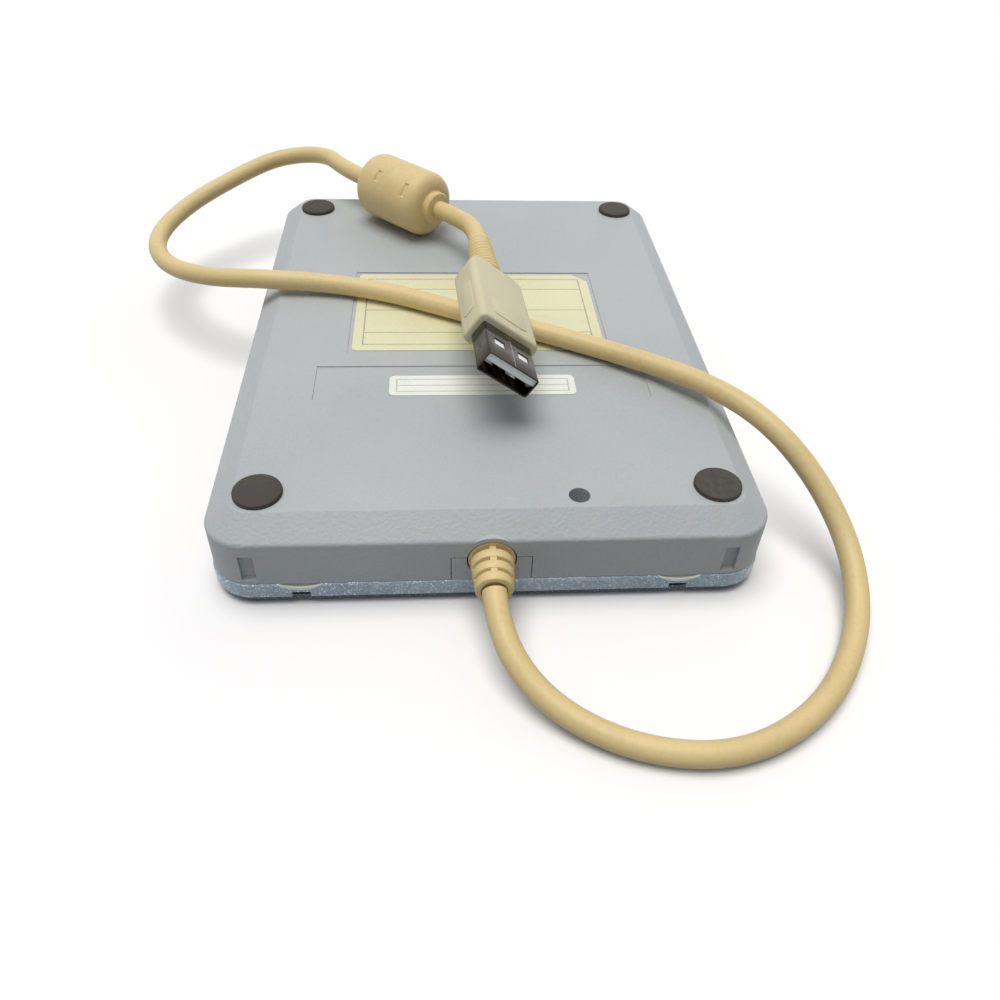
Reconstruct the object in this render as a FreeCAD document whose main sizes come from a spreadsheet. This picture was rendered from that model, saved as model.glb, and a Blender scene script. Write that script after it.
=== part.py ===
import FreeCAD, Part
import Sketcher
import math
import os
import re

# External floppy disk drive, lying upside down on its top cover with its cord over it.
# X is to the right, Y runs from the cord end to the disk slot, Z is up from the surface it lies on.

doc = FreeCAD.newDocument("floppy_drive")
sheet = doc.addObject("Spreadsheet::Sheet", "sizes")

driving_sizes = {
    # casing
    "body_width": 104.0,
    "body_depth": 142.0,
    "body_height": 18.8,
    "corner_radius": 8.0,
    "chamfer_inset": 5.1,
    "chamfer_drop": 3.6,
    "line_inset": 6.1,
    "line_width": 0.4,
    "line_depth": 0.25,
    "edge_round": 0.9,
    "base_wall": 1.8,
    "cover_skirt": 2.15,
    "cover_wall": 1.2,
    "cover_inset": 0.35,
    "cover_round": 1.0,
    "band_height": 3.2,
    "band_wall": 2.6,
    "band_proud": 0.25,
    "seam_gap": 0.12,
    # pry scallops and notches at the cord end
    "scallop_inset": 16.7,
    "scallop_radius": 9.3,
    "scallop_depth": 0.9,
    "notch_width": 3.4,
    "notch_height": 1.2,
    # latch pockets at the cord end
    "latch_inset": 7.8,
    "latch_width": 2.7,
    "latch_low": 6.3,
    "latch_high": 12.4,
    "latch_depth": 1.1,
    # recesses and labels in the bottom panel
    "recess_depth": 0.25,
    "rating_width": 57.0,
    "rating_depth": 35.0,
    "rating_centre": 3.4,
    "serial_width": 39.5,
    "serial_depth": 7.2,
    "serial_centre": -27.6,
    "plain_width": 70.8,
    "plain_depth": 12.2,
    "plain_centre": -26.5,
    "label_border": 0.9,
    "label_thickness": 0.15,
    "label_cut": 5.0,
    # feet
    "foot_radius": 4.5,
    "foot_height": 1.1,
    "foot_inset": 9.7,
    "foot_rear_inset": 9.9,
    "foot_front_inset": 12.0,
    # case screw
    "screw_across": 16.0,
    "screw_rear_inset": 8.0,
    "screw_hole_radius": 2.0,
    "screw_boss_radius": 3.4,
    "screw_seat": 12.5,
    "screw_head_radius": 1.75,
    "screw_head_height": 1.3,
    "screw_radius": 1.0,
    "screw_core_radius": 0.85,
    "cover_post_radius": 2.6,
    # cord exit
    "exit_across": -0.3,
    "exit_height": 10.5,
    "exit_radius": 4.4,
    "exit_clearance": 0.2,
    "exit_lip": 0.9,
    "entry_plate_width": 15.0,
    "entry_plate_top": 11.3,
    # front end
    "bezel_side": 3.0,
    "bezel_above_seam": 9.53,
    "bezel_thickness": 2.4,
    "slot_side": 3.0,
    "slot_low": 6.3,
    "slot_high": 11.1,
    "fit_gap": 0.2,
    "flap_thickness": 1.0,
    "flap_pin_radius": 0.6,
    "flap_set_back": 0.5,
    "button_width": 12.0,
    "button_low": 12.0,
    "button_high": 14.0,
    "button_inset": 19.0,
    "button_proud": 0.1,
    "lens_width": 4.0,
    "lens_low": 12.4,
    "lens_high": 13.8,
    "lens_inset": 16.0,
    "lens_proud": 0.1,
    # clearances
    "press_gap": 0.0,
    "running_gap": 0.05,
    "sliding_gap": 0.1,
    "loose_gap": 0.3,
    # the mechanism hangs from the base floor and from the slot end
    "mech_height": 17.0,
    "mech_reach": 71.0,
    "fixing_inset": 12.0,
    # steel chassis and cover over the mechanism
    "deck_low": 14.2,
    "deck_thickness": 0.7,
    "chassis_rear": -64.5,
    "chassis_front": 61.5,
    "chassis_side": 3.0,
    "chassis_wall": 0.8,
    "shield_low": 3.1,
    "shield_thickness": 0.5,
    "stand_off_radius": 2.4,
    # disk cage
    "cage_rear": -27.0,
    "cage_front": 61.0,
    "cage_side": 2.0,
    "cage_wall": 0.7,
    "cage_low": 6.0,
    "cage_sheet": 0.5,
    "bay_high": 10.9,
    "cage_lip": 3.5,
    "cage_travel": 2.2,
    "arm_window": 10.5,
    "arm_window_front": 2.0,
    "cage_pin_radius": 0.9,
    "cage_pin_rear": -15.0,
    "cage_pin_front": 46.0,
    "cage_pin_height": 8.5,
    # eject slide and button
    "slide_travel": 6.0,
    "slide_sheet": 0.4,
    "slide_wall": 0.6,
    "slide_rear": -28.0,
    "slide_front": 54.0,
    "slide_wall_low": 6.6,
    "tongue_width": 8.0,
    "button_back": 61.0,
    # shutter lever
    "lever_inset": 16.0,
    "lever_along": -38.0,
    "lever_pin_radius": 1.2,
    "lever_hub_radius": 3.0,
    "lever_low": 8.0,
    "lever_thickness": 1.6,
    "lever_reach": 14.0,
    "lever_arm_width": 4.0,
    # spindle motor
    "spindle_along": 19.0,
    "rotor_radius": 20.5,
    "rotor_top": 13.4,
    "rotor_skirt": 15.4,
    "rotor_sheet": 0.6,
    "hub_radius": 11.0,
    "hub_top": 12.7,
    "spindle_radius": 2.0,
    "spindle_top": 11.3,
    "drive_pin_radius": 0.8,
    "drive_pin_across": 8.5,
    "drive_pin_top": 11.9,
    "stator_radius": 18.5,
    "stator_low": 14.4,
    "stator_height": 1.0,
    "motor_board_low": 15.9,
    "motor_board_thickness": 0.7,
    "motor_board_half": 25.0,
    "bush_radius": 3.2,
    # head carriage
    "stepper_radius": 4.9,
    "stepper_across": -15.0,
    "stepper_height": 9.3,
    "stepper_rear": -65.2,
    "stepper_length": 12.0,
    "lead_radius": 1.2,
    "lead_end": -28.2,
    "rail_across": 14.0,
    "rail_height": 11.0,
    "rail_radius": 1.25,
    "rail_rear": -58.0,
    "rail_end": -28.2,
    "clip_length": 2.4,
    "carriage_rear": -52.5,
    "carriage_length": 6.8,
    "head_travel": 14.8,
    "head_along": -20.5,
    "head_half": 2.4,
    "head_top": 11.3,
    "carriage_arm_low": 13.3,
    "carriage_arm_high": 14.9,
    "arm_low": 4.0,
    "arm_thickness": 1.2,
    "arm_half": 7.5,
    "arm_pin_height": 8.0,
    "arm_pin_radius": 0.8,
    "upper_head_reach": 2.2,
    # boards
    "board_low": 15.9,
    "board_thickness": 0.8,
    "board_rear": -65.0,
    "board_front": -46.0,
    "board_side": 16.0,
    "chip_height": 0.8,
    "switch_width": 3.0,
    "switch_length": 5.0,
    "switch_low": 13.3,
    "plunger_radius": 0.7,
    "plunger_travel": 0.8,
    "plunger_rise": 1.0,
    "switch_inset": 14.0,
    "switch_along": -18.0,
    "spring_inset": 4.7,
    "spring_height": 11.2,
    "spring_radius": 1.7,
    "spring_wire": 0.25,
    "spring_turns": 9.0,
    # cord, relief, ferrite and plug
    "cord_radius": 2.25,
    "relief_big": 4.0,
    "relief_small": 3.4,
    "relief_length": 7.6,
    "relief_flange": 5.4,
    "ferrite_radius": 8.2,
    "ferrite_length": 26.5,
    "ferrite_collar": 4.2,
    "ferrite_core_radius": 6.6,
    "ferrite_core_bore": 3.2,
    "ferrite_core_length": 20.0,
    "plug_width": 14.6,
    "plug_height": 7.4,
    "plug_length": 25.0,
    "plug_taper": 4.0,
    "boot_radius": 3.5,
    "shell_width": 12.0,
    "shell_height": 4.5,
    "shell_length": 12.0,
    "shell_inside": 6.5,
    "shell_sheet": 0.3,
    "tongue_thickness": 1.84,
    "plug_across": 3.15,
    "plug_along": -31.4,
    "plug_up": 31.3,
    "plug_yaw": 0.9,
    "plug_roll": 36.0,
    "plug_pitch": -3.0,
    "boot_length": 19.0,
    "boot_small_radius": 2.95,
    "ferrite_yaw": 45.0,
}

# Sizes that follow from others
derived_sizes = {
    "half_width": "body_width / 2",
    "half_depth": "body_depth / 2",
    "foot_span": "half_width - foot_inset",
    "foot_rear": "-half_depth + foot_rear_inset",
    "foot_front": "half_depth - foot_front_inset",
    "scallop_span": "half_width - scallop_inset",
    "latch_span": "half_width - latch_inset",
    "screw_along": "-half_depth + screw_rear_inset",
    "bezel_width": "body_width - 2 * bezel_side",
    "bezel_top": "cover_skirt + band_height + seam_gap + bezel_above_seam",
    "slot_width": "bezel_width - 2 * slot_side",
    "button_across": "half_width - button_inset",
    "lens_across": "-half_width + lens_inset",
    "chassis_outer": "half_width - chassis_side",
    "cage_outer": "chassis_outer - cage_side",
    "lever_across": "half_width - lever_inset",
    "board_half": "half_width - board_side",
    "switch_across": "half_width - switch_inset",
    "spring_across": "chassis_outer - spring_inset",
    "fixing_across": "half_width - fixing_inset",
    "mech_level": "body_height - base_wall - mech_height",
    "mech_shift": "half_depth - mech_reach",
}

row = 1
for alias, value in driving_sizes.items():
    sheet.set(f"A{row}", alias)
    sheet.set(f"B{row}", str(value))
    sheet.setAlias(f"B{row}", alias)
    row += 1
doc.recompute()

words = re.compile(r"[a-z][a-z0-9_]*[a-z0-9]")
nodes = []


def size(alias):
    """A driving size as a number."""
    return float(sheet.get(alias))


def named(found):
    word = found.group()
    if word in derived_sizes:
        return f"({tied(derived_sizes[word])})"
    return "sizes." + word if word in driving_sizes else word


def tied(text):
    """The text with each driving size named as a cell of the sheet."""
    return words.sub(named, str(text))


def tie(thing, setting, text):
    thing.setExpression(setting, tied(text))


datum = {"y": "0", "z": "0"}


def place(thing, x="0", y="0", z="0"):
    """Sets a thing's spot, measured from the datum of the group that is being built."""
    tie(thing, ".Placement.Base.x", x)
    tie(thing, ".Placement.Base.y", f"({y}) + {datum['y']}")
    tie(thing, ".Placement.Base.z", f"({z}) + {datum['z']}")
    return thing


def keep(thing, label):
    """This object is a finished piece: its label names its file."""
    thing.Label = label
    nodes.append(thing)
    return thing


def box(low, high):
    """A block between two corners, each coordinate an expression of driving sizes."""
    made = doc.addObject("Part::Box", "block")
    for setting, a, b in zip(("Length", "Width", "Height"), low, high):
        tie(made, setting, f"({b}) - ({a})")
    return place(made, *low)


turns = {
    "x": FreeCAD.Rotation(FreeCAD.Vector(0, 1, 0), 90),
    "y": FreeCAD.Rotation(FreeCAD.Vector(1, 0, 0), -90),
    "z": FreeCAD.Rotation(),
}


def rod(start, radius, length, along="z"):
    """A cylinder from its start point along one axis."""
    made = doc.addObject("Part::Cylinder", "rod")
    tie(made, "Radius", radius)
    tie(made, "Height", length)
    made.Placement = FreeCAD.Placement(FreeCAD.Vector(), turns[along])
    return place(made, *start)


def join(*parts):
    if len(parts) == 1:
        return parts[0]
    made = doc.addObject("Part::MultiFuse", "joined")
    made.Shapes = list(parts)
    made.Refine = True
    return made


def group(*parts):
    """Separate solids that share one node."""
    made = doc.addObject("Part::Compound", "group")
    made.Links = list(parts)
    return made


def cut(base, *tools):
    made = doc.addObject("Part::Cut", "cut")
    made.Base = base
    made.Tool = join(*tools)
    made.Refine = True
    return made


def part_body():
    return doc.addObject("PartDesign::Body", "body")


def origin_plane(body, role):
    return next(f for f in body.Origin.OriginFeatures if f.Role == role)


def rectangle_sketch(body, plane, offset, low, high):
    """A sketch of rectangles on an origin plane: each low and high is a pair of expressions."""
    sketch = body.newObject("Sketcher::SketchObject", "outline")
    sketch.AttachmentSupport = [(origin_plane(body, plane), "")]
    sketch.MapMode = "FlatFace"
    tie(sketch, ".AttachmentOffset.Base.z", offset)
    add_rectangle(sketch, low, high)
    return sketch


def add_rectangle(sketch, low, high):
    first = sketch.GeometryCount
    corners = [FreeCAD.Vector(*c, 0) for c in ((0, 0), (10, 0), (10, 10), (0, 10))]
    for a, b in zip(corners, corners[1:] + corners[:1]):
        sketch.addGeometry(Part.LineSegment(a, b), False)
    for side in range(4):
        sketch.addConstraint(Sketcher.Constraint("Coincident", first + side, 2, first + (side + 1) % 4, 1))
    for side, kind in ((0, "Horizontal"), (1, "Vertical"), (2, "Horizontal"), (3, "Vertical")):
        sketch.addConstraint(Sketcher.Constraint(kind, first + side))
    for corner, side, pair in (("low", 0, low), ("high", 2, high)):
        for axis, text in zip("XY", pair):
            name = f"{corner}{axis}{first}"
            number = sketch.addConstraint(
                Sketcher.Constraint("Distance" + axis, -1, 1, first + side, 1, 5.0)
            )
            sketch.renameConstraint(number, name)
            tie(sketch, f"Constraints.{name}", text)


def add_circle(sketch, centre, radius):
    number = sketch.addGeometry(Part.Circle(FreeCAD.Vector(3, 3, 0), FreeCAD.Vector(0, 0, 1), 2), False)
    for axis, text in zip("XY", centre):
        name = f"centre{axis}{number}"
        at = sketch.addConstraint(Sketcher.Constraint("Distance" + axis, -1, 1, number, 3, 3.0))
        sketch.renameConstraint(at, name)
        tie(sketch, f"Constraints.{name}", text)
    at = sketch.addConstraint(Sketcher.Constraint("Radius", number, 2.0))
    sketch.renameConstraint(at, f"radius{number}")
    tie(sketch, f"Constraints.radius{number}", radius)


def pad(body, sketch, length):
    made = body.newObject("PartDesign::Pad", "pad")
    made.Profile = sketch
    tie(made, "Length", length)
    body.Tip = made
    doc.recompute()
    return made


def edges_where(shape, wanted):
    return [f"Edge{i + 1}" for i, edge in enumerate(shape.Edges) if wanted(edge)]


def is_upright(edge):
    low, high = edge.BoundBox.ZMin, edge.BoundBox.ZMax
    flat = edge.BoundBox.XLength + edge.BoundBox.YLength
    return high - low > 0.05 and flat < 0.01


def lies_at(height):
    return lambda edge: abs(edge.BoundBox.ZMin - height) < 0.01 and abs(edge.BoundBox.ZMax - height) < 0.01


def fillet(body, wanted, radius):
    last = body.Tip
    made = body.newObject("PartDesign::Fillet", "fillet")
    made.Base = (last, edges_where(last.Shape, wanted))
    tie(made, "Radius", radius)
    body.Tip = made
    doc.recompute()
    return made




# Lines that several pieces share
half_width = "half_width"
half_depth = "half_depth"
seam = "(cover_skirt + band_height)"
base_floor = "(body_height - base_wall)"


def block_body(low, high, bottom, height):
    body = part_body()
    sketch = rectangle_sketch(body, "XY_Plane", bottom, low, high)
    pad(body, sketch, height)
    return body


def make_base_case():
    body = block_body(
        (f"-{half_width}", f"-{half_depth}"), (half_width, half_depth),
        f"{seam} + seam_gap", f"body_height - {seam} - seam_gap",
    )
    fillet(body, is_upright, "corner_radius")
    top = size("body_height")
    last = body.Tip
    slope = body.newObject("PartDesign::Chamfer", "slope")
    face = next(i for i, f in enumerate(last.Shape.Faces) if abs(f.CenterOfMass.z - top) < 0.01)
    slope.Base = (last, [f"Face{face + 1}"])
    slope.ChamferType = "Two distances"
    tie(slope, "Size", "chamfer_inset")
    tie(slope, "Size2", "chamfer_drop")
    body.Tip = slope
    doc.recompute()
    low_edge = top - size("chamfer_drop")
    if not edges_where(slope.Shape, lies_at(low_edge)):
        slope.FlipDirection = True
        doc.recompute()
    shell = body.newObject("PartDesign::Thickness", "shell")
    bottom = size("cover_skirt") + size("band_height") + size("seam_gap")
    open_face = next(i for i, f in enumerate(slope.Shape.Faces) if abs(f.CenterOfMass.z - bottom) < 0.01)
    shell.Base = (slope, [f"Face{open_face + 1}"])
    tie(shell, "Value", "base_wall")
    shell.Reversed = True
    shell.Join = 1
    body.Tip = shell
    doc.recompute()
    fillet(body, lambda e: lies_at(top)(e) or lies_at(low_edge)(e), "edge_round")
    return body




def rounded_block(low, high, bottom, height, radius):
    body = block_body(low, high, bottom, height)
    fillet(body, is_upright, radius)
    return body


# Casing, cord end, bottom panel and labels
def boss(x, y, radius, low, high):
    return rod((x, y, low), radius, f"({high}) - ({low})")


def make_base():
    shell = make_base_case()
    tongue_out = rounded_block(
        (f"-({half_width} - 1.5)", f"-({half_depth} - 1.5)"),
        (f"{half_width} - 1.5", f"{half_depth} - 1.5"),
        f"{seam} - 1.2", "1.2 + seam_gap + 0.8", "corner_radius - 1.5",
    )
    tongue_in = rounded_block(
        (f"-({half_width} - band_wall)", f"-({half_depth} - band_wall)"),
        (f"{half_width} - band_wall", f"{half_depth} - band_wall"),
        f"{seam} - 1.5", "1.5 + seam_gap + 1.0", "corner_radius - band_wall",
    )
    screw_tube = boss("screw_across", "screw_along", "screw_boss_radius", "screw_seat", base_floor + " + 0.1")
    posts = [
        boss(f"{side} * fixing_across", f"{end} + mech_shift", 2.6,
             "deck_low + deck_thickness + mech_level", base_floor + " + 0.1")
        for side in (-1, 1) for end in ("chassis_rear + 4", "chassis_front - 5")
    ]
    lip = rod(
        ("exit_across", f"-{half_depth}", "exit_height"), "exit_radius + exit_clearance + exit_lip", "2.2", "y",
    )
    whole = join(shell, cut(tongue_out, tongue_in), screw_tube, lip, *posts)
    holes = [
        boss("screw_across", "screw_along", "screw_hole_radius", "screw_seat + 1.2", "body_height + 1"),
        boss("screw_across", "screw_along", "screw_radius + 0.1", "screw_seat - 1", "screw_seat + 2"),
        rod(("exit_across", f"-{half_depth} - 1", "exit_height"), "exit_radius + exit_clearance", "base_wall + 2.2", "y"),
        box(("exit_across - entry_plate_width / 2", f"-{half_depth} - 1", f"{seam} - 2"),
            ("exit_across + entry_plate_width / 2", f"-{half_depth} + 4", "entry_plate_top")),
        box(("exit_across - entry_plate_width / 2 - 1.7", f"-{half_depth} + base_wall", f"{seam} - 2"),
            ("exit_across + entry_plate_width / 2 + 1.7", f"-{half_depth} + 4", "entry_plate_top")),
        box(("-bezel_width / 2 - fit_gap / 2", f"{half_depth} - bezel_thickness - 3", f"{seam} - 2"),
            ("bezel_width / 2 + fit_gap / 2", f"{half_depth} + 1", "bezel_top + fit_gap / 2")),
    ]
    for side in (-1, 1):
        holes.append(box(
            (f"{side} * latch_span - latch_width / 2", f"-{half_depth} - 1", "latch_low"),
            (f"{side} * latch_span + latch_width / 2", f"-{half_depth} + latch_depth", "latch_high"),
        ))
    for width, depth, centre in (
        ("rating_width + 2 * label_border", "rating_depth + 2 * label_border", "rating_centre"),
        ("plain_width", "plain_depth", "plain_centre"),
    ):
        holes.append(box(
            (f"-({width}) / 2", f"{centre} - ({depth}) / 2", "body_height - recess_depth"),
            (f"({width}) / 2", f"{centre} + ({depth}) / 2", "body_height + 1"),
        ))
    # a fine line runs round the flat, just inside the slope
    line = [rounded_block(
        (f"-({half_width} - {inset})", f"-({half_depth} - {inset})"), (f"{half_width} - {inset}", f"{half_depth} - {inset}"),
        "body_height - line_depth", "1", f"corner_radius - {inset}",
    ) for inset in ("line_inset", "line_inset - line_width")]
    holes.append(cut(line[1], line[0]))
    return keep(cut(whole, *holes), "base_case")


def make_trim():
    outer = rounded_block(
        (f"-({half_width} + band_proud)", f"-({half_depth} + band_proud)"),
        (f"{half_width} + band_proud", f"{half_depth} + band_proud"),
        "cover_skirt", "band_height", "corner_radius + band_proud",
    )
    fillet(outer, lies_at(size("cover_skirt") + size("band_height")), 0.5)
    wide = rounded_block(
        (f"-({half_width} - 1.5 + loose_gap / 10)", f"-({half_depth} - 1.5 + loose_gap / 10)"),
        (f"{half_width} - 1.5 + loose_gap / 10", f"{half_depth} - 1.5 + loose_gap / 10"),
        f"{seam} - 1.2", 3, "corner_radius - 1.5",
    )
    narrow = rounded_block(
        (f"-({half_width} - band_wall)", f"-({half_depth} - band_wall)"),
        (f"{half_width} - band_wall", f"{half_depth} - band_wall"),
        "cover_skirt - 1", 6, "corner_radius - band_wall",
    )
    tools = [wide, narrow]
    for side in (-1, 1):
        tools.append(rod(
            (f"{side} * scallop_span", f"-{half_depth} - 1", f"{seam} + scallop_radius - scallop_depth"),
            "scallop_radius", "1 + 1.1", "y",
        ))
        tools.append(box(
            (f"{side} * scallop_span - notch_width / 2", f"-{half_depth} - 1", "cover_skirt - 1"),
            (f"{side} * scallop_span + notch_width / 2", f"-{half_depth} + 1.2", "cover_skirt + notch_height"),
        ))
    return keep(cut(outer, *tools), "trim_frame")


def make_cover():
    outer = rounded_block(
        (f"-({half_width} - cover_inset)", f"-({half_depth} - cover_inset)"),
        (f"{half_width} - cover_inset", f"{half_depth} - cover_inset"),
        "0", "cover_skirt", "corner_radius - cover_inset",
    )
    fillet(outer, lies_at(0), "cover_round")
    inner = rounded_block(
        (f"-({half_width} - band_wall)", f"-({half_depth} - band_wall)"),
        (f"{half_width} - band_wall", f"{half_depth} - band_wall"),
        "cover_wall", 3, "corner_radius - band_wall",
    )
    spigot_out = rounded_block(
        (f"-({half_width} - band_wall - 0.15)", f"-({half_depth} - band_wall - 0.15)"),
        (f"{half_width} - band_wall - 0.15", f"{half_depth} - band_wall - 0.15"),
        "cover_wall / 2", "cover_skirt + 0.6 - cover_wall / 2", "corner_radius - band_wall - 0.15",
    )
    spigot_in = rounded_block(
        (f"-({half_width} - band_wall - 1.2)", f"-({half_depth} - band_wall - 1.2)"),
        (f"{half_width} - band_wall - 1.2", f"{half_depth} - band_wall - 1.2"),
        "cover_wall", 6, "corner_radius - band_wall - 1.2",
    )
    post = boss("screw_across", "screw_along", "cover_post_radius", "cover_wall / 2", "screw_seat")
    pilot = boss("screw_across", "screw_along", "screw_core_radius", "screw_seat - 6", "screw_seat + 1")
    return keep(cut(join(cut(outer, inner), cut(spigot_out, spigot_in), post), pilot), "top_cover")


def make_bezel():
    outline = rounded_block(
        (f"-{half_width}", f"-{half_depth}"), (half_width, half_depth),
        f"{seam} + seam_gap", f"bezel_top - {seam} - seam_gap", "corner_radius",
    )
    face = doc.addObject("Part::MultiCommon", "face")
    face.Shapes = [outline, box(
        ("-bezel_width / 2", f"{half_depth} - bezel_thickness", 0),
        ("bezel_width / 2", f"{half_depth} + 1", "body_height"),
    )]
    ears = [box(
        (f"{side} * (slot_width / 2 + 0.9) - 0.7", f"{half_depth} - bezel_thickness - 1.9", "5.5 + mech_level"),
        (f"{side} * (slot_width / 2 + 0.9) + 0.7", f"{half_depth} - bezel_thickness + 0.2", "7.0 + mech_level"),
    ) for side in (-1, 1)]
    tools = [
        box(("-slot_width / 2", f"{half_depth} - bezel_thickness - 0.5", "slot_low + mech_level"),
            ("slot_width / 2", f"{half_depth} + 1", "slot_high + mech_level")),
        box(("button_across - button_width / 2 - fit_gap", f"{half_depth} - 4", "button_low + mech_level - fit_gap"),
            ("button_across + button_width / 2 + fit_gap", f"{half_depth} + 1", "button_high + mech_level + fit_gap")),
        box(("lens_across - lens_width / 2", f"{half_depth} - 4", "lens_low + mech_level"),
            ("lens_across + lens_width / 2", f"{half_depth} + 1", "lens_high + mech_level")),
        rod(("-slot_width / 2 - 2.5", flap_line, flap_height), "flap_pin_radius + running_gap", "slot_width + 5", "x"),
        box(("-14", f"{half_depth} - 0.7", "slot_low + mech_level - 0.5"), ("14", f"{half_depth} + 1", "slot_high + mech_level")),
    ]
    return keep(cut(join(face, *ears), *tools), "front_bezel")


flap_line = f"({half_depth} - bezel_thickness - flap_set_back - flap_thickness / 2)"
flap_height = "(slot_low + mech_level - 0.2)"


def make_front():
    make_bezel()
    flap = join(
        box(("-slot_width / 2 + 0.3", f"{flap_line} - flap_thickness / 2", f"{flap_height} - 0.5"),
            ("slot_width / 2 - 0.3", f"{flap_line} + flap_thickness / 2", "slot_high + mech_level + 0.25")),
        rod(("-slot_width / 2 - 1.4", flap_line, flap_height), "flap_pin_radius", "slot_width + 2.8", "x"),
    )
    keep(flap, "slot_flap")
    keep(box(
        ("button_across - button_width / 2", "button_back + mech_shift", "button_low + mech_level"),
        ("button_across + button_width / 2", f"{half_depth} + button_proud", "button_high + mech_level"),
    ), "eject_button")
    keep(join(
        box(("lens_across - lens_width / 2", f"{half_depth} - bezel_thickness - 0.1", "lens_low + mech_level"),
            ("lens_across + lens_width / 2", f"{half_depth} + lens_proud", "lens_high + mech_level")),
        box(("lens_across - lens_width / 2 - 0.8", f"{half_depth} - bezel_thickness - 1", "lens_low + mech_level - 0.6"),
            ("lens_across + lens_width / 2 + 0.8", f"{half_depth} - bezel_thickness", "lens_high + mech_level + 0.6")),
    ), "led_lens")


def make_outside():
    make_base()
    make_trim()
    make_cover()
    make_front()
    plate = join(
        box(("exit_across - entry_plate_width / 2 + 0.15", f"-{half_depth}", f"{seam} + 0.05"),
            ("exit_across + entry_plate_width / 2 - 0.15", f"-{half_depth} + base_wall", "entry_plate_top - 0.15")),
        box(("exit_across - entry_plate_width / 2 - 1.5", f"-{half_depth} + base_wall", f"{seam} + 0.2"),
            ("exit_across + entry_plate_width / 2 + 1.5", f"-{half_depth} + base_wall + 1", "entry_plate_top - 0.15")),
    )
    keep(cut(plate, rod(
        ("exit_across", f"-{half_depth} - 1", "exit_height"), "exit_radius + exit_clearance", 8, "y",
    )), "cable_entry_cover")
    keep(cut(
        join(
            boss("screw_across", "screw_along", "screw_head_radius", "screw_seat + 1.2", "screw_seat + 1.2 + screw_head_height"),
            boss("screw_across", "screw_along", "screw_core_radius", "screw_seat - 5.5", "screw_seat + 1.4"),
        ),
        box(("screw_across - 1.1", "screw_along - 0.22", "screw_seat + 1.9"),
            ("screw_across + 1.1", "screw_along + 0.22", "screw_seat + 4")),
        box(("screw_across - 0.22", "screw_along - 1.1", "screw_seat + 1.9"),
            ("screw_across + 0.22", "screw_along + 1.1", "screw_seat + 4")),
    ), "case_screw")
    for name, width, depth, centre in (
        ("rating_label", "rating_width", "rating_depth", "rating_centre"),
        ("serial_label", "serial_width", "serial_depth", "serial_centre"),
    ):
        label = rounded_block(
            (f"-{width} / 2", f"{centre} - {depth} / 2"), (f"{width} / 2", f"{centre} + {depth} / 2"),
            "body_height - recess_depth", "label_thickness", 1.2,
        )
        if name == "rating_label":
            corner = doc.addObject("Part::Box", "corner")
            tie(corner, "Length", "label_cut")
            tie(corner, "Width", "label_cut")
            tie(corner, "Height", "2")
            corner.Placement = FreeCAD.Placement(FreeCAD.Vector(), FreeCAD.Rotation(FreeCAD.Vector(0, 0, 1), 45))
            place(corner, "rating_width / 2", "rating_centre + rating_depth / 2 - label_cut / sqrt(2)", "body_height - 1")
            label = cut(label, corner)
        keep(label, name)
    for number, (side, row_y) in enumerate(((-1, "foot_rear"), (1, "foot_rear"), (-1, "foot_front"), (1, "foot_front"))):
        foot = part_body()
        sketch = foot.newObject("Sketcher::SketchObject", "outline")
        sketch.AttachmentSupport = [(origin_plane(foot, "XY_Plane"), "")]
        sketch.MapMode = "FlatFace"
        add_circle(sketch, ("foot_radius + 1", "foot_radius + 1"), "foot_radius")
        pad(foot, sketch, "foot_height")
        fillet(foot, lies_at(size("foot_height")), 0.35)
        place(foot, f"{side} * foot_span - foot_radius - 1", f"{row_y} - foot_radius - 1", "body_height")
        keep(foot, f"foot_{number + 1}")



deck_high = "(deck_low + deck_thickness)"
wall_low = "(shield_low + shield_thickness)"


def bracket(name, x, y, low, high, half, length, bore, bore_z):
    """An upright block on the deck with a hole along Y."""
    block = box((f"{x} - {half}", y, low), (f"{x} + {half}", f"{y} + {length}", high))
    return keep(cut(block, rod((x, f"{y} - 1", bore_z), bore, f"{length} + 2", "y")), name)


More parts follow.
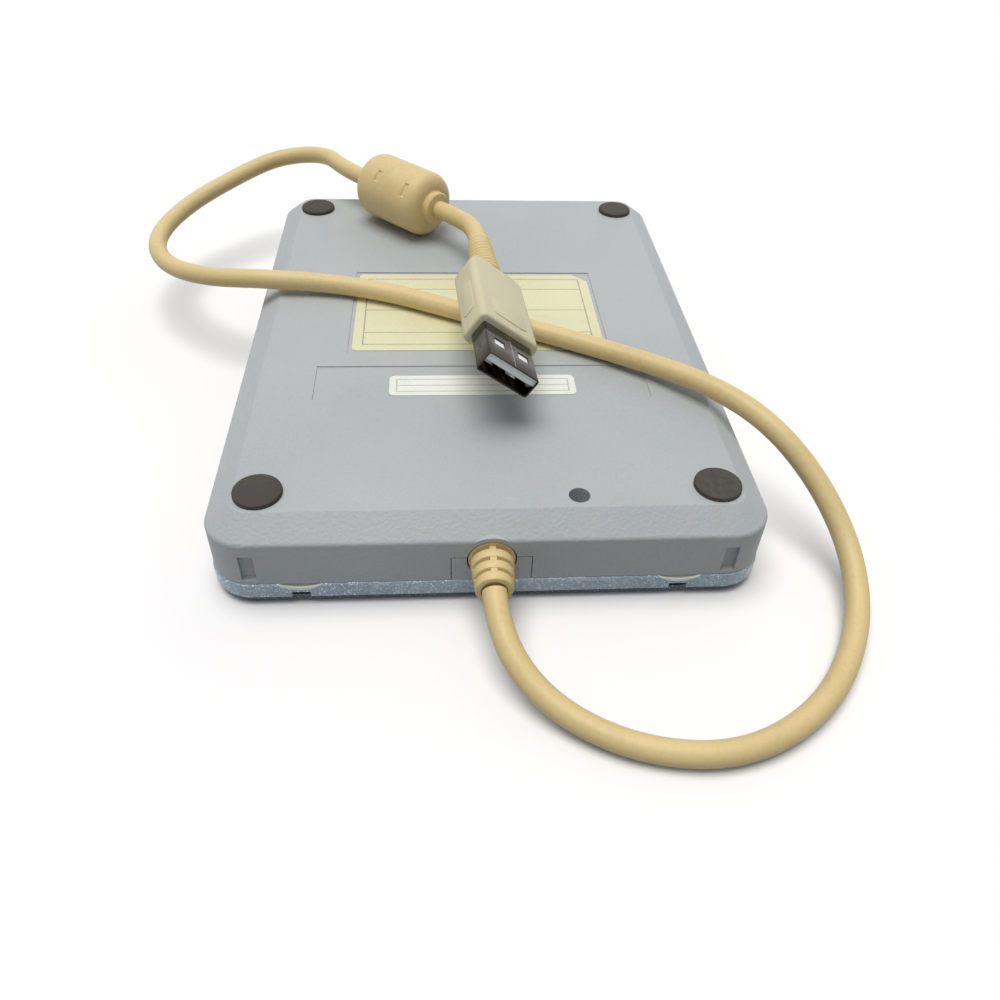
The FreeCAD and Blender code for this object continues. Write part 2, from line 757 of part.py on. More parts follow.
def make_chassis():
    deck = box(("-chassis_outer", "chassis_rear", "deck_low"), ("chassis_outer", "chassis_front", deck_high))
    adds = [deck]
    for side in (-1, 1):
        adds.append(box(
            (f"{side} * (chassis_outer - chassis_wall / 2) - chassis_wall / 2", "chassis_rear", wall_low),
            (f"{side} * (chassis_outer - chassis_wall / 2) + chassis_wall / 2", "chassis_front", deck_high),
        ))
        adds.append(box(
            (f"{side} * (chassis_outer - 3.9) - 3.5", "chassis_rear + 1", 8.6), (f"{side} * (chassis_outer - 3.9) + 3.5", "chassis_rear + 1.8", deck_high),
        ))
        adds.append(boss(f"{side} * (board_half - 6)", "board_front + 4", 1.5, "deck_low", "board_low"))
    openings = [
        boss(0, "spindle_along", "rotor_radius + 1", "deck_low - 1", f"{deck_high} + 1"),
        box(("-9", "carriage_rear - 1", "deck_low - 1"), ("9", "spindle_along - rotor_radius", f"{deck_high} + 1")),
        box(("-9.3", "chassis_rear - 1", "deck_low - 1"), ("7", "chassis_rear + 8.5", f"{deck_high} + 1")),
        boss("screw_across", "screw_along - mech_shift", "screw_boss_radius + 0.5", "deck_low - 1", f"{deck_high} + 1"),
    ]
    for side in (-1, 1):
        openings.append(box(
            (f"{side} * switch_across - switch_width / 2", "switch_along - switch_length / 2", "deck_low - 1"),
            (f"{side} * switch_across + switch_width / 2", "switch_along + switch_length / 2", f"{deck_high} + 1"),
        ))
        openings.append(boss(f"{side} * fixing_across", "chassis_rear + 4", 0.8, "deck_low - 1", f"{deck_high} + 1"))
    keep(cut(join(*adds), *openings), "chassis")
    keep(cut(
        box(("-chassis_outer", "chassis_rear + 6", "shield_low"), ("chassis_outer", "chassis_front", wall_low)),
        box(("-14", "-44", "shield_low - 1"), ("14", "-2", f"{wall_low} - 0.25")),
    ), "mech_shield")
    for number, side in enumerate((-1, 1)):
        keep(join(
            boss(f"{side} * fixing_across", "chassis_rear + 4", 1.6, "deck_low - 0.8", "deck_low"),
            boss(f"{side} * fixing_across", "chassis_rear + 4", 0.8, "deck_low - 0.4", f"{deck_high}"),
        ), f"chassis_screw_{number + 1}")


def make_cage():
    top = box(("-cage_outer", "cage_rear", "cage_low"), ("cage_outer", "cage_front", "cage_low + cage_sheet"))
    adds, holes = [top], []
    for side in (-1, 1):
        edge = f"{side} * (cage_outer - cage_wall / 2)"
        adds.append(box(
            (f"{edge} - cage_wall / 2", "cage_rear", "cage_low"),
            (f"{edge} + cage_wall / 2", "cage_front", "bay_high + cage_sheet"),
        ))
        lip = f"{side} * (cage_outer - cage_lip / 2)"
        adds.append(box(
            (f"{lip} - cage_lip / 2", "cage_rear", "bay_high"),
            (f"{lip} + cage_lip / 2", "cage_front", "bay_high + cage_sheet"),
        ))
        for y in ("cage_pin_rear", "cage_pin_front"):
            adds.append(rod(
                (f"{side} * (cage_outer + 0.35) - 0.75", y, "cage_pin_height"), "cage_pin_radius", 1.5, "x",
            ))
    holes.append(box(
        ("-arm_window", "cage_rear - 1", "cage_low - 1"), ("arm_window", "arm_window_front", "cage_low + 1"),
    ))
    keep(cut(join(*adds), *holes), "disk_cage")


def slanted_slot(side, y):
    """The slot that lifts one cage pin: it climbs the cage's travel over the slide's travel."""
    half = "(cage_pin_radius + sliding_gap)"
    slope = "atan(cage_travel / slide_travel)"
    start = f"{side} * (cage_outer + 0.6) - 1"
    bar = doc.addObject("Part::Box", "slot")
    tie(bar, "Length", "2")
    tie(bar, "Width", "sqrt(slide_travel ^ 2 + cage_travel ^ 2)")
    tie(bar, "Height", f"2 * {half}")
    bar.Placement = FreeCAD.Placement(FreeCAD.Vector(), FreeCAD.Rotation(FreeCAD.Vector(1, 0, 0), 160))
    tie(bar, ".Placement.Rotation.Angle", f"180 deg - {slope}")
    place(bar, start, f"{y} + {half} * sin({slope})", f"cage_pin_height + {half} * cos({slope})")
    return [
        bar,
        rod((start, y, "cage_pin_height"), half, 2, "x"),
        rod((start, f"{y} - slide_travel", "cage_pin_height + cage_travel"), half, 2, "x"),
    ]


def make_slide():
    low, high = "(deck_low - sliding_gap - slide_sheet)", "(deck_low - sliding_gap)"
    adds = [
        box(("-cage_outer - 0.6", "slide_rear", low), ("cage_outer + 0.6", "slide_front", high)),
        box(("button_across - tongue_width / 2", "slide_front - 1", low),
            ("button_across + tongue_width / 2", "button_back", high)),
    ]
    holes = [
        boss(0, "spindle_along - slide_travel / 2", "rotor_radius + 6.5", "deck_low - 3", "deck_low + 1"),
        box(("-20", "slide_rear - 1", "deck_low - 3"), ("20", "0", "deck_low + 1")),
    ]
    for side in (-1, 1):
        strip = f"{side} * (cage_outer + 0.3 + slide_wall / 2)"
        adds.append(box(
            (f"{strip} - slide_wall / 2", "slide_rear - 12", "slide_wall_low"),
            (f"{strip} + slide_wall / 2", "slide_front", high),
        ))
        adds.append(box(
            (f"{side} * (cage_outer - 2.1) - 2.8", "slide_rear - 12", 8.8),
            (f"{side} * (cage_outer - 2.1) + 2.8", "slide_rear - 11.4", high),
        ))
        for y in ("cage_pin_rear", "cage_pin_front"):
            holes += slanted_slot(side, y)
        holes.append(box(
            (f"{side} * switch_across - switch_width / 2 - loose_gap",
             "switch_along - switch_length / 2 - slide_travel - loose_gap", "deck_low - 3"),
            (f"{side} * switch_across + switch_width / 2 + loose_gap",
             "switch_along + switch_length / 2 + loose_gap", "deck_low + 1"),
        ))
    keep(cut(join(*adds), *holes), "eject_slide")


def make_lever():
    hub = boss("lever_across", "lever_along", "lever_hub_radius", "lever_low", "deck_low - slide_sheet - 2 * sliding_gap - 0.1")
    arm = doc.addObject("Part::Box", "arm")
    tie(arm, "Length", "lever_reach")
    tie(arm, "Width", "lever_arm_width")
    tie(arm, "Height", "lever_thickness")
    arm.Placement = FreeCAD.Placement(FreeCAD.Vector(), FreeCAD.Rotation(FreeCAD.Vector(0, 0, 1), 150))
    place(arm, "lever_across + lever_arm_width / 2 * sin(150)", "lever_along - lever_arm_width / 2 * cos(150)", "lever_low")
    hole = boss("lever_across", "lever_along", "lever_pin_radius + running_gap", "lever_low - 1", "deck_low")
    keep(cut(join(hub, arm), hole), "latch_lever")
    keep(boss("lever_across", "lever_along", "lever_pin_radius", "lever_low - 0.6", "deck_low"), "latch_pin")


def make_springs():
    for number, side in enumerate((-1, 1)):
        coil = doc.addObject("Part::Helix", "coil")
        tie(coil, "Radius", "spring_radius")
        tie(coil, "Height", "slide_rear - 12 - chassis_rear - 1.8 - 2 * spring_wire - 0.1")
        tie(coil, "Pitch", "(slide_rear - 12 - chassis_rear - 1.8 - 2 * spring_wire - 0.1) / spring_turns")
        ring = doc.addObject("Part::Circle", "section")
        tie(ring, "Radius", "spring_wire")
        ring.Placement = FreeCAD.Placement(
            FreeCAD.Vector(size("spring_radius"), 0, 0), FreeCAD.Rotation(FreeCAD.Vector(1, 0, 0), 90),
        )
        tie(ring, ".Placement.Base.x", "spring_radius")
        doc.recompute()
        wound = doc.addObject("Part::Sweep", "wound")
        wound.Sections = [ring]
        wound.Spine = (coil, [])
        wound.Solid = True
        wound.Frenet = True
        wound.Placement = FreeCAD.Placement(FreeCAD.Vector(), turns["y"])
        place(wound, f"{side} * spring_across", "chassis_rear + 1.85 + spring_wire", "spring_height")
        keep(wound, f"eject_spring_{number + 1}")


def make_motor():
    thin = "rotor_sheet"
    keep(join(
        cut(boss(0, "spindle_along", "rotor_radius", "rotor_top", "rotor_skirt"),
            boss(0, "spindle_along", f"rotor_radius - 1.0", f"rotor_top + {thin}", "rotor_skirt + 1")),
        boss(0, "spindle_along", "hub_radius", "hub_top", "rotor_top + 0.1"),
        boss(0, "spindle_along", "spindle_radius", "spindle_top", "motor_board_low - sliding_gap"),
    ), "rotor_hub")
    keep(boss(0, "spindle_along + drive_pin_across", "drive_pin_radius", "drive_pin_top", "hub_top"), "drive_pin")
    plate = [
        box(("-motor_board_half", "spindle_along - motor_board_half", "motor_board_low"),
            ("motor_board_half", "spindle_along + motor_board_half", "motor_board_low + motor_board_thickness")),
        boss(0, "spindle_along", "bush_radius", "stator_low", "motor_board_low + 0.1"),
        boss(0, "spindle_along", "bush_radius + 1.6", "stator_low + stator_height", "motor_board_low + 0.1"),
    ]
    for sx in (-1, 1):
        for sy in (-1, 1):
            plate.append(boss(
                f"{sx} * (motor_board_half - 2)", f"spindle_along + {sy} * (motor_board_half - 2)", 1.5,
                deck_high, "motor_board_low + 0.1",
            ))
    keep(cut(join(*plate), boss(
        0, "spindle_along", "spindle_radius + running_gap", "stator_low - 1", "motor_board_low",
    )), "motor_base")
    poles = [boss(0, "spindle_along", "bush_radius", "stator_low - 1", "stator_low + stator_height + 1")]
    for k in range(9):
        poles.append(boss(
            f"13.2 * cos({40 * k} deg)", f"spindle_along + 13.2 * sin({40 * k} deg)", 2.6,
            "stator_low - 1", "stator_low + stator_height + 1",
        ))
    keep(cut(boss(
        0, "spindle_along", "stator_radius", "stator_low", "stator_low + stator_height",
    ), *poles), "stator")


def make_heads():
    shaft = "0.8"
    front = "(stepper_rear + stepper_length)"
    keep(cut(join(
        rod(("stepper_across", "stepper_rear", "stepper_height"), "stepper_radius", "stepper_length", "y"),
        box(("stepper_across - 3.4", "stepper_rear + 1", "stepper_height"), ("stepper_across + 3.4", f"{front} - 1", "deck_low")),
    ), rod(("stepper_across", f"{front} - 8", "stepper_height"), f"{shaft} + running_gap", "9", "y")), "stepper_motor")
    keep(join(
        rod(("stepper_across", f"{front} - 7.5", "stepper_height"), shaft, f"lead_end + 0.9 - {front} + 7.5", "y"),
        rod(("stepper_across", f"{front} + 0.2", "stepper_height"), "lead_radius", f"lead_end - 1.2 - {front} - 0.2", "y"),
    ), "lead_screw")
    bracket("screw_bearing", "stepper_across", "lead_end - 1.1", 6.8, "deck_low", 2.8, 1.8, f"{shaft} + running_gap", "stepper_height")
    keep(rod(("rail_across", "rail_rear", "rail_height"), "rail_radius", "rail_end - rail_rear", "y"), "guide_rail")
    bracket("rail_clip_rear", "rail_across", "rail_rear", 8.6, "deck_low", 2.6, "clip_length", "rail_radius", "rail_height")
    bracket("rail_clip_front", "rail_across", "rail_end - clip_length", 8.6, "deck_low", 2.6, "clip_length", "rail_radius", "rail_height")
    rear, ahead = "carriage_rear", "(carriage_rear + carriage_length)"
    keep(cut(join(
        box(("-18.4", rear, 10.6), ("17.6", ahead, 12.9)),
        box(("-18.4", rear, 6.9), ("-9.6", ahead, 12.9)),
        box(("9.8", rear, 8.9), ("17.6", ahead, 12.9)),
        box(("-5.7", rear, 6.7), ("5.7", ahead, 12.9)),
        box(("-7", f"{ahead} - 2.3", 12.8), ("7", ahead, "carriage_arm_high")),
        box(("-7", f"{ahead} - 2.3", "carriage_arm_low"), ("7", "head_along + head_half + 0.4", "carriage_arm_high")),
    ),
        rod(("stepper_across", f"{rear} - 1", "stepper_height"), "lead_radius + running_gap", "carriage_length + 2", "y"),
        rod(("rail_across", f"{rear} - 1", "rail_height"), "rail_radius + running_gap", "carriage_length + 2", "y"),
        rod(("-10", f"{rear} + 3.4", "arm_pin_height"), "arm_pin_radius", "19.7", "x"),
    ), "head_carriage")
    keep(rod(("-arm_half", f"{rear} + 3.4", "arm_pin_height"), "arm_pin_radius", "2 * arm_half", "x"), "arm_pin")
    keep(box(("-head_half", "head_along - head_half", "head_top"),
             ("head_half", "head_along + head_half", "carriage_arm_low")), "lower_head")
    cheeks = []
    for side in (-1, 1):
        middle = f"{side} * (arm_half - 0.7)"
        cheeks.append(box((f"{middle} - 0.6", f"{rear} + 1.9", "arm_low"), (f"{middle} + 0.6", f"{rear} + 4.9", "arm_pin_height")))
        cheeks.append(rod((f"{middle} - 0.6", f"{rear} + 3.4", "arm_pin_height"), 1.5, "1.2", "x"))
    keep(cut(join(
        box(("-arm_half + 0.1", f"{rear} + 1.9", "arm_low"), ("arm_half - 0.1", "head_along + head_half + 0.4", "arm_low + arm_thickness")),
        *cheeks,
    ), rod(("-12", f"{rear} + 3.4", "arm_pin_height"), "arm_pin_radius + running_gap", "24", "x")), "head_arm")
    keep(box(("-head_half", "head_along - head_half", "arm_low + arm_thickness"),
             ("head_half", "head_along + head_half", "cage_low + 0.3")), "upper_head")


def make_boards():
    top = "(board_low + board_thickness)"
    keep(cut(
        box(("-board_half", "board_rear", "board_low"), ("board_half", "board_front", top)),
        boss("screw_across", "screw_along - mech_shift", "screw_boss_radius + 0.3", "board_low - 1", f"{top} + 1"),
    ), "controller_board")
    keep(box(("18", "-60", "board_low - chip_height"), ("28", "-50", "board_low")), "controller_chip")
    keep(box(("-7", "-60.2", 12.2), ("5", "-56.8", "board_low")), "cable_socket")
    keep(box(("10", "board_front - 4", "board_low - 0.2"), ("20", "spindle_along - motor_board_half + 4", "board_low")), "motor_flex")
    for number, side in enumerate((-1, 1)):
        x = f"{side} * switch_across"
        body = box(
            (f"{x} - switch_width / 2", "switch_along - switch_length / 2", "switch_low"),
            (f"{x} + switch_width / 2", "switch_along + switch_length / 2", f"{deck_high} + 0.6"),
        )
        well = boss(x, "switch_along", "plunger_radius + running_gap", "switch_low - 1", f"{deck_high} + 0.1")
        keep(cut(body, well), f"disk_switch_{number + 1}")
        keep(boss(x, "switch_along", "plunger_radius", "switch_low - plunger_rise", f"{deck_high} - plunger_travel - 0.05"),
             f"switch_plunger_{number + 1}")



# Cord: its points stay as chosen, along the table, up the side, over the drive and round to the ferrite
cord_points = [
    (-0.3, -78.6, 10.5), (0.1, -87.8, 8.4), (8.0, -98.0, 3.4), (21.5, -106.0, 2.45), (38.3, -107.8, 2.45),
    (54.5, -99.6, 2.45), (66.2, -84.3, 2.6), (69.8, -68.7, 6.6), (65.2, -56.1, 14.6), (56.4, -45.5, 21.9),
    (46.3, -33.5, 22.9), (33.5, -21.7, 21.25), (15.8, -11.5, 21.2), (-3.4, -1.9, 21.2), (-20.4, 7.3, 21.2),
    (-35.6, 11.5, 21.4), (-51.0, 11.6, 22.4), (-66.1, 16.6, 20.2), (-78.7, 28.4, 17.4), (-84.5, 43.5, 17.0),
    (-79.2, 59.0, 19.2), (-67.0, 72.9, 22.1), (-55.4, 82.4, 24.5), (-41.1, 79.2, 26.8), (-34.4, 65.9, 27.3),
    (-27.32, 58.82, 27.3),
]
short_points = [(-8.58, 40.08, 27.3), (-4.0, 35.5, 27.3), (0.53, 25.5, 28.9), (0.94, 16.5, 29.28)]


def cord(points, radius):
    """A round cord along straight runs joined by tangent arcs."""
    spots = [FreeCAD.Vector(*p) for p in points]
    runs = [(b - a).Length for a, b in zip(spots, spots[1:])]
    edges, start, tightest = [], spots[0], None
    for number in range(1, len(spots) - 1):
        here = spots[number]
        back = (spots[number - 1] - here).normalize()
        ahead = (spots[number + 1] - here).normalize()
        turn = math.pi - back.getAngle(ahead)
        reach = 0.45 * min(runs[number - 1], runs[number])
        bend = reach / math.tan(turn / 2)
        tightest = min(tightest or bend, bend)
        first, last = here + back * reach, here + ahead * reach
        towards = (back + ahead).normalize()
        middle = here + towards * (bend / math.cos(turn / 2) - bend)
        edges.append(Part.LineSegment(start, first).toShape())
        edges.append(Part.Arc(first, middle, last).toShape())
        start = last
    edges.append(Part.LineSegment(start, spots[-1]).toShape())
    path = Part.Wire(edges)
    section = Part.Face(Part.Wire(Part.Circle(spots[0], spots[1] - spots[0], radius).toShape()))
    tube = path.makePipe(section)
    print("cord length", round(path.Length, 1), "tightest bend", round(tightest, 1),
          "volume against section", round(tube.Volume / (path.Length * math.pi * radius ** 2), 4))
    return tube


def free_piece(shape, label):
    made = doc.addObject("Part::Feature", "cord")
    made.Shape = shape
    made.Placement = FreeCAD.Placement()
    return keep(made, label)


def turned(thing, label, yaw, roll="0", pitch="0", spot=("0", "0", "0")):
    """Sets a finished piece at its spot: yaw about Z, then roll about its own length, then pitch."""
    thing.Placement = FreeCAD.Placement(FreeCAD.Vector(), FreeCAD.Rotation(5, 5, 5))
    tie(thing, ".Placement.Rotation", f"rotation({yaw}; {roll}; {pitch})")
    place(thing, *spot)
    return keep(thing, label)


def make_relief():
    exit_at = f"-{half_depth}"
    rings = []
    for number, (start, radius) in enumerate((("0.9", "relief_big"), ("3.4", "(relief_big + relief_small) / 2"), ("5.9", "relief_small"))):
        rings.append(rod(("exit_across", f"{exit_at} - {start} - 1.7", "exit_height"), radius, "1.7", "y"))
    bridges = [
        box(("exit_across - 1.3", f"{exit_at} - relief_length", "exit_height - relief_small + 0.05"),
            ("exit_across + 1.3", exit_at, "exit_height + relief_small - 0.05")),
        box(("exit_across - relief_small + 0.05", f"{exit_at} - relief_length", "exit_height - 1.3"),
            ("exit_across + relief_small - 0.05", exit_at, "exit_height + 1.3")),
    ]
    keep(join(
        box(("exit_across - relief_flange", f"{exit_at} + base_wall + 1", "exit_height - relief_flange"),
            ("exit_across + relief_flange", f"{exit_at} + base_wall + 3", "exit_height + exit_radius - 0.1")),
        rod(("exit_across", f"{exit_at} - 0.4", "exit_height"), "exit_radius", "base_wall + 1.6", "y"),
        rod(("exit_across", f"{exit_at} - relief_length", "exit_height"), "cord_radius + 0.6", "relief_length", "y"),
        *rings, *bridges,
    ), "strain_relief")


def make_ferrite():
    half = "(ferrite_length / 2)"
    long_part = f"ferrite_length - 4"
    body = doc.addObject("PartDesign::Body", "body")
    drum = body.newObject("PartDesign::AdditiveCylinder", "drum")
    tie(drum, "Radius", "ferrite_radius")
    tie(drum, "Height", long_part)
    drum.Placement = FreeCAD.Placement(FreeCAD.Vector(), turns["y"])
    tie(drum, ".Placement.Base.y", f"2 - {half}")
    body.Tip = drum
    doc.recompute()
    fillet(body, lambda e: e.BoundBox.YLength < 0.01, 3.2)
    core_space = cut(
        rod(("0", "-ferrite_core_length / 2", "0"), "ferrite_core_radius", "ferrite_core_length", "y"),
        rod(("0", "-ferrite_core_length / 2 - 1", "0"), "ferrite_core_bore", "ferrite_core_length + 2", "y"),
    )
    spot = ("-17.95", "49.45", "27.3")
    turned(cut(join(body, rod(("0", f"-{half}", "0"), "ferrite_collar", "ferrite_length", "y")), core_space),
           "ferrite_housing", "ferrite_yaw", spot=spot)
    turned(cut(
        rod(("0", "-ferrite_core_length / 2", "0"), "ferrite_core_radius", "ferrite_core_length", "y"),
        rod(("0", "-ferrite_core_length / 2 - 1", "0"), "ferrite_core_bore", "ferrite_core_length + 2", "y"),
    ), "ferrite_core", "ferrite_yaw", spot=spot)


def make_plug():
    pose = ("plug_yaw", "plug_roll", "plug_pitch", ("plug_across", "plug_along", "plug_up"))
    body = doc.addObject("PartDesign::Body", "body")
    block = body.newObject("PartDesign::AdditiveBox", "block")
    tie(block, "Length", "plug_width")
    tie(block, "Width", "plug_length")
    tie(block, "Height", "plug_height")
    place(block, "-plug_width / 2", "0", "-plug_height / 2")
    taper = body.newObject("PartDesign::AdditiveWedge", "taper")
    for setting, text in {
        "Xmin": "-plug_width / 2", "Xmax": "plug_width / 2", "Zmin": "-plug_height / 2", "Zmax": "plug_height / 2",
        "Ymin": "0", "Ymax": "plug_taper", "X2min": "-boot_radius - 1.6", "X2max": "boot_radius + 1.6",
        "Z2min": "-boot_radius + 0.2", "Z2max": "boot_radius - 0.2",
    }.items():
        tie(taper, setting, text)
    place(taper, "0", "plug_length", "0")
    body.Tip = taper
    doc.recompute()
    along = lambda e: e.BoundBox.YLength > 2 and e.BoundBox.YLength > 0.7 * e.Length
    fillet(body, along, 1.5)
    outline = cut(
        box(("-plug_width / 2 + 1.6", "2.5", "plug_height / 2 - 0.5"), ("plug_width / 2 - 1.6", "plug_length - 1.5", "plug_height / 2 + 0.25")),
        box(("-plug_width / 2 + 2.2", "3.1", "plug_height / 2 - 1"), ("plug_width / 2 - 2.2", "plug_length - 2.1", "plug_height / 2 + 1")),
    )
    turned(join(body, outline), "plug_body", *pose)

    outer = box(("-shell_width / 2", "-shell_length", "-shell_height / 2"), ("shell_width / 2", "0", "shell_height / 2"))
    inner = box(("-shell_width / 2 + shell_sheet", "-shell_length - 1", "-shell_height / 2 + shell_sheet"),
                ("shell_width / 2 - shell_sheet", "1", "shell_height / 2 - shell_sheet"))
    windows = [box((f"{side} * 2.9 - 1.25", "-7.2", "-shell_height"), (f"{side} * 2.9 + 1.25", "-4.9", "shell_height")) for side in (-1, 1)]
    turned(cut(outer, inner, *windows), "plug_shell", *pose)
    low = "(shell_height / 2 - shell_sheet - tongue_thickness)"
    strips = [box((f"{at} - 0.5", "-8.6", f"{low} - 0.15"), (f"{at} + 0.5", "0", low)) for at in (-3.5, -1.0, 1.0, 3.5)]
    turned(cut(
        box(("-shell_width / 2 + shell_sheet", "-shell_length + 0.4", low),
            ("shell_width / 2 - shell_sheet", "0", "shell_height / 2 - shell_sheet")),
        box(("-shell_width", "-shell_length", f"{low} - 1"), ("shell_width", "-shell_length + 1", f"{low} + 0.4")),
    ), "plug_insulator", *pose)
    turned(join(*strips, box(("-4", "-0.8", f"{low} - 0.15"), ("4", "0", low))), "plug_contacts", *pose)
    ribs = [rod(("0", f"plug_length + plug_taper + {0.4 + 1.65 * k}", "0"), f"boot_radius - {0.07 * k}", "1.05", "y") for k in range(11)]
    turned(join(rod(("0", "plug_length + plug_taper", "0"), "boot_small_radius - 0.3", "boot_length", "y"), *ribs),
           "plug_boot", *pose)


make_outside()
datum.update(y="mech_shift", z="mech_level")
for build in (make_chassis, make_cage, make_slide, make_lever, make_springs, make_motor, make_heads, make_boards):
    build()
datum.update(y="0", z="0")
make_relief()
free_piece(cord(cord_points, size("cord_radius")), "cord_long")
make_ferrite()
free_piece(cord(short_points, size("cord_radius")), "cord_short")
make_plug()
rear = -size("body_depth") / 2 + size("base_wall") + 3
socket = -60.2 + size("body_depth") / 2 - size("mech_reach")
level = 13.6 + size("body_height") - size("base_wall") - size("mech_height")
free_piece(cord([
    (size("exit_across"), rear, size("exit_height")), (size("exit_across"), rear + 1.8, size("exit_height")),
    (-1.0, socket - 2.0, level), (-1.0, socket, level),
], 0.9), "cable_harness")
doc.recompute()

for thing in doc.Objects:
    if "Invalid" in thing.State or "Error" in thing.State:
        raise ValueError(f"{thing.Name} did not rebuild: {thing.State}")
for piece in nodes:
    if piece.Shape.isNull() or not piece.Shape.isValid() or len(piece.Shape.Solids) != 1:
        raise ValueError(f"{piece.Label} is not one valid solid")

os.makedirs("parts", exist_ok=True)
for piece in nodes:
    piece.Shape.exportStep(f"parts/{piece.Label}.step")
print(len(nodes), "pieces written")
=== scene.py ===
import math

import bmesh
import bpy
from mathutils import Matrix, Vector


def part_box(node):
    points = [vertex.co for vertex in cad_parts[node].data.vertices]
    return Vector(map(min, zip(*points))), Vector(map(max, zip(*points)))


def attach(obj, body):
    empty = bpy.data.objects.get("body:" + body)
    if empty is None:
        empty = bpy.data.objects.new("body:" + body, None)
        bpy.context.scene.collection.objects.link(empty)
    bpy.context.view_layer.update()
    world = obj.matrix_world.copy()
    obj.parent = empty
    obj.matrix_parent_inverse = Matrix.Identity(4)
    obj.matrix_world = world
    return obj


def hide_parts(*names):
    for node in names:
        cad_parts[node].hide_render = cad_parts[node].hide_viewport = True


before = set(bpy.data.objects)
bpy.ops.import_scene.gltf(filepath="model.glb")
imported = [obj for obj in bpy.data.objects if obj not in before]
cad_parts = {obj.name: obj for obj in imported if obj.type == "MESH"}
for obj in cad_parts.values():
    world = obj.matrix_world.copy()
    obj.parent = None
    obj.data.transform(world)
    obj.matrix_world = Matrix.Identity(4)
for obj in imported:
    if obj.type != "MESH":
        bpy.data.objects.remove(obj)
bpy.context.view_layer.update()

# A slim external floppy drive lying on its lid, with its cord thrown back over it.
# The frame is the solids' own: Z up, Y from the cord end to the disk slot. Shapes below are in
# millimetres and degrees, and patterns and form sizes in the materials in metres.
mm = 0.001


# a colour as it is seen, 0 to 255, turned into the light values the shader takes
def tone(red, green, blue):
    def light(part):
        part /= 255
        return part / 12.92 if part <= 0.04045 else ((part + 0.055) / 1.055) ** 2.4
    return (light(red), light(green), light(blue), 1)


def inMetres(point):
    return [part * mm for part in point]


# adds a node; settings are its properties, links its sockets by name, or i0, i1 and so on by number
def wire(tree, kind, settings=None, **links):
    node = tree.nodes.new(kind)
    for key, value in (settings or {}).items():
        setattr(node, key, value)
    for key, value in links.items():
        numbered = key[0] == "i" and key[1:].isdigit()
        join(tree, node.inputs[int(key[1:])] if numbered else node.inputs[key], value)
    return node


# feeds a socket from another socket, or sets it
def join(tree, socket, value):
    if isinstance(value, bpy.types.NodeSocket):
        tree.links.new(value, socket)
    else:
        socket.default_value = value


def openGroup(name, inputs, outputs):
    group = bpy.data.node_groups.new(name, "ShaderNodeTree")
    for label, kind, start in inputs:
        socket = group.interface.new_socket(label, in_out="INPUT", socket_type=kind)
        if start is not None:
            socket.default_value = start
    for label, kind in outputs:
        group.interface.new_socket(label, in_out="OUTPUT", socket_type=kind)
    given = group.nodes.new("NodeGroupInput").outputs
    return group, given, group.nodes.new("NodeGroupOutput").inputs


def calc(tree, how, first, second=0.0, third=0.0):
    return wire(tree, "ShaderNodeMath", {"operation": how}, i0=first, i1=second, i2=third).outputs[0]


def spread(tree, value, low, high, toLow=0.0, toHigh=1.0):
    return wire(tree, "ShaderNodeMapRange", None, i0=value, i1=low, i2=high, i3=toLow, i4=toHigh).outputs[0]


def noise(tree, where, scale, detail=2.0, rough=0.5):
    return wire(tree, "ShaderNodeTexNoise", None, Vector=where, Scale=scale, Detail=detail,
                Roughness=rough).outputs[0]


def blendTones(tree, factor, first, second):
    node = wire(tree, "ShaderNodeMix", {"data_type": "RGBA"}, i0=factor, i6=first, i7=second)
    return node.outputs[2]


amountKind, vectorKind = "NodeSocketFloat", "NodeSocketVector"


# spark-eroded mould texture: fine pits over a faint slow unevenness
def makeMouldGrain():
    look = {"slow": 28.0, "cells": 0.6, "pitShare": 0.45, "slowShare": 0.55}
    group, given, out = openGroup(
        "mouldGrain", [("Vector", vectorKind, None), ("Grain", amountKind, 2600.0)],
        [("Height", amountKind), ("Shade", amountKind)])
    where = given["Vector"]
    pits = noise(group, where, given["Grain"], 3.0, 0.6)
    cellScale = calc(group, "MULTIPLY", given["Grain"], look["cells"])
    cells = wire(group, "ShaderNodeTexVoronoi", None, Vector=where, Scale=cellScale).outputs["Distance"]
    slow = calc(group, "MULTIPLY", noise(group, where, look["slow"]), look["slowShare"])
    group.links.new(calc(group, "MULTIPLY_ADD", cells, look["cells"], pits), out["Height"])
    group.links.new(calc(group, "MULTIPLY_ADD", pits, look["pitShare"], slow), out["Shade"])
    return group


# what hands and desks leave: broad grime broken up by fine speckle, and a few short scuffs
def makeHandling():
    look = {"broad": (0.46, 0.72), "speckle": 900.0, "speckleSpan": (0.35, 0.75), "patch": 60.0,
            "patchSpan": (0.55, 0.65), "streakTurn": (0.2, 0.3, 0.7), "streakSize": (60.0, 900.0, 400.0),
            "streakSpan": (0.70, 0.78)}
    group, given, out = openGroup(
        "handling", [("Vector", vectorKind, None), ("Spread", amountKind, 34.0)],
        [("Grime", amountKind), ("Scuff", amountKind)])
    where = given["Vector"]
    broad = spread(group, noise(group, where, given["Spread"], 4.0, 0.62), *look["broad"])
    speckle = spread(group, noise(group, where, look["speckle"], 2.0, 0.7), *look["speckleSpan"])
    group.links.new(calc(group, "MULTIPLY", broad, speckle), out["Grime"])
    turned = wire(group, "ShaderNodeMapping", None, Vector=where, Rotation=look["streakTurn"],
                  Scale=look["streakSize"]).outputs[0]
    streaks = spread(group, noise(group, turned, 1.0), *look["streakSpan"])
    patchy = spread(group, noise(group, where, look["patch"], 1.0), *look["patchSpan"])
    group.links.new(calc(group, "MULTIPLY", streaks, patchy), out["Scuff"])
    return group


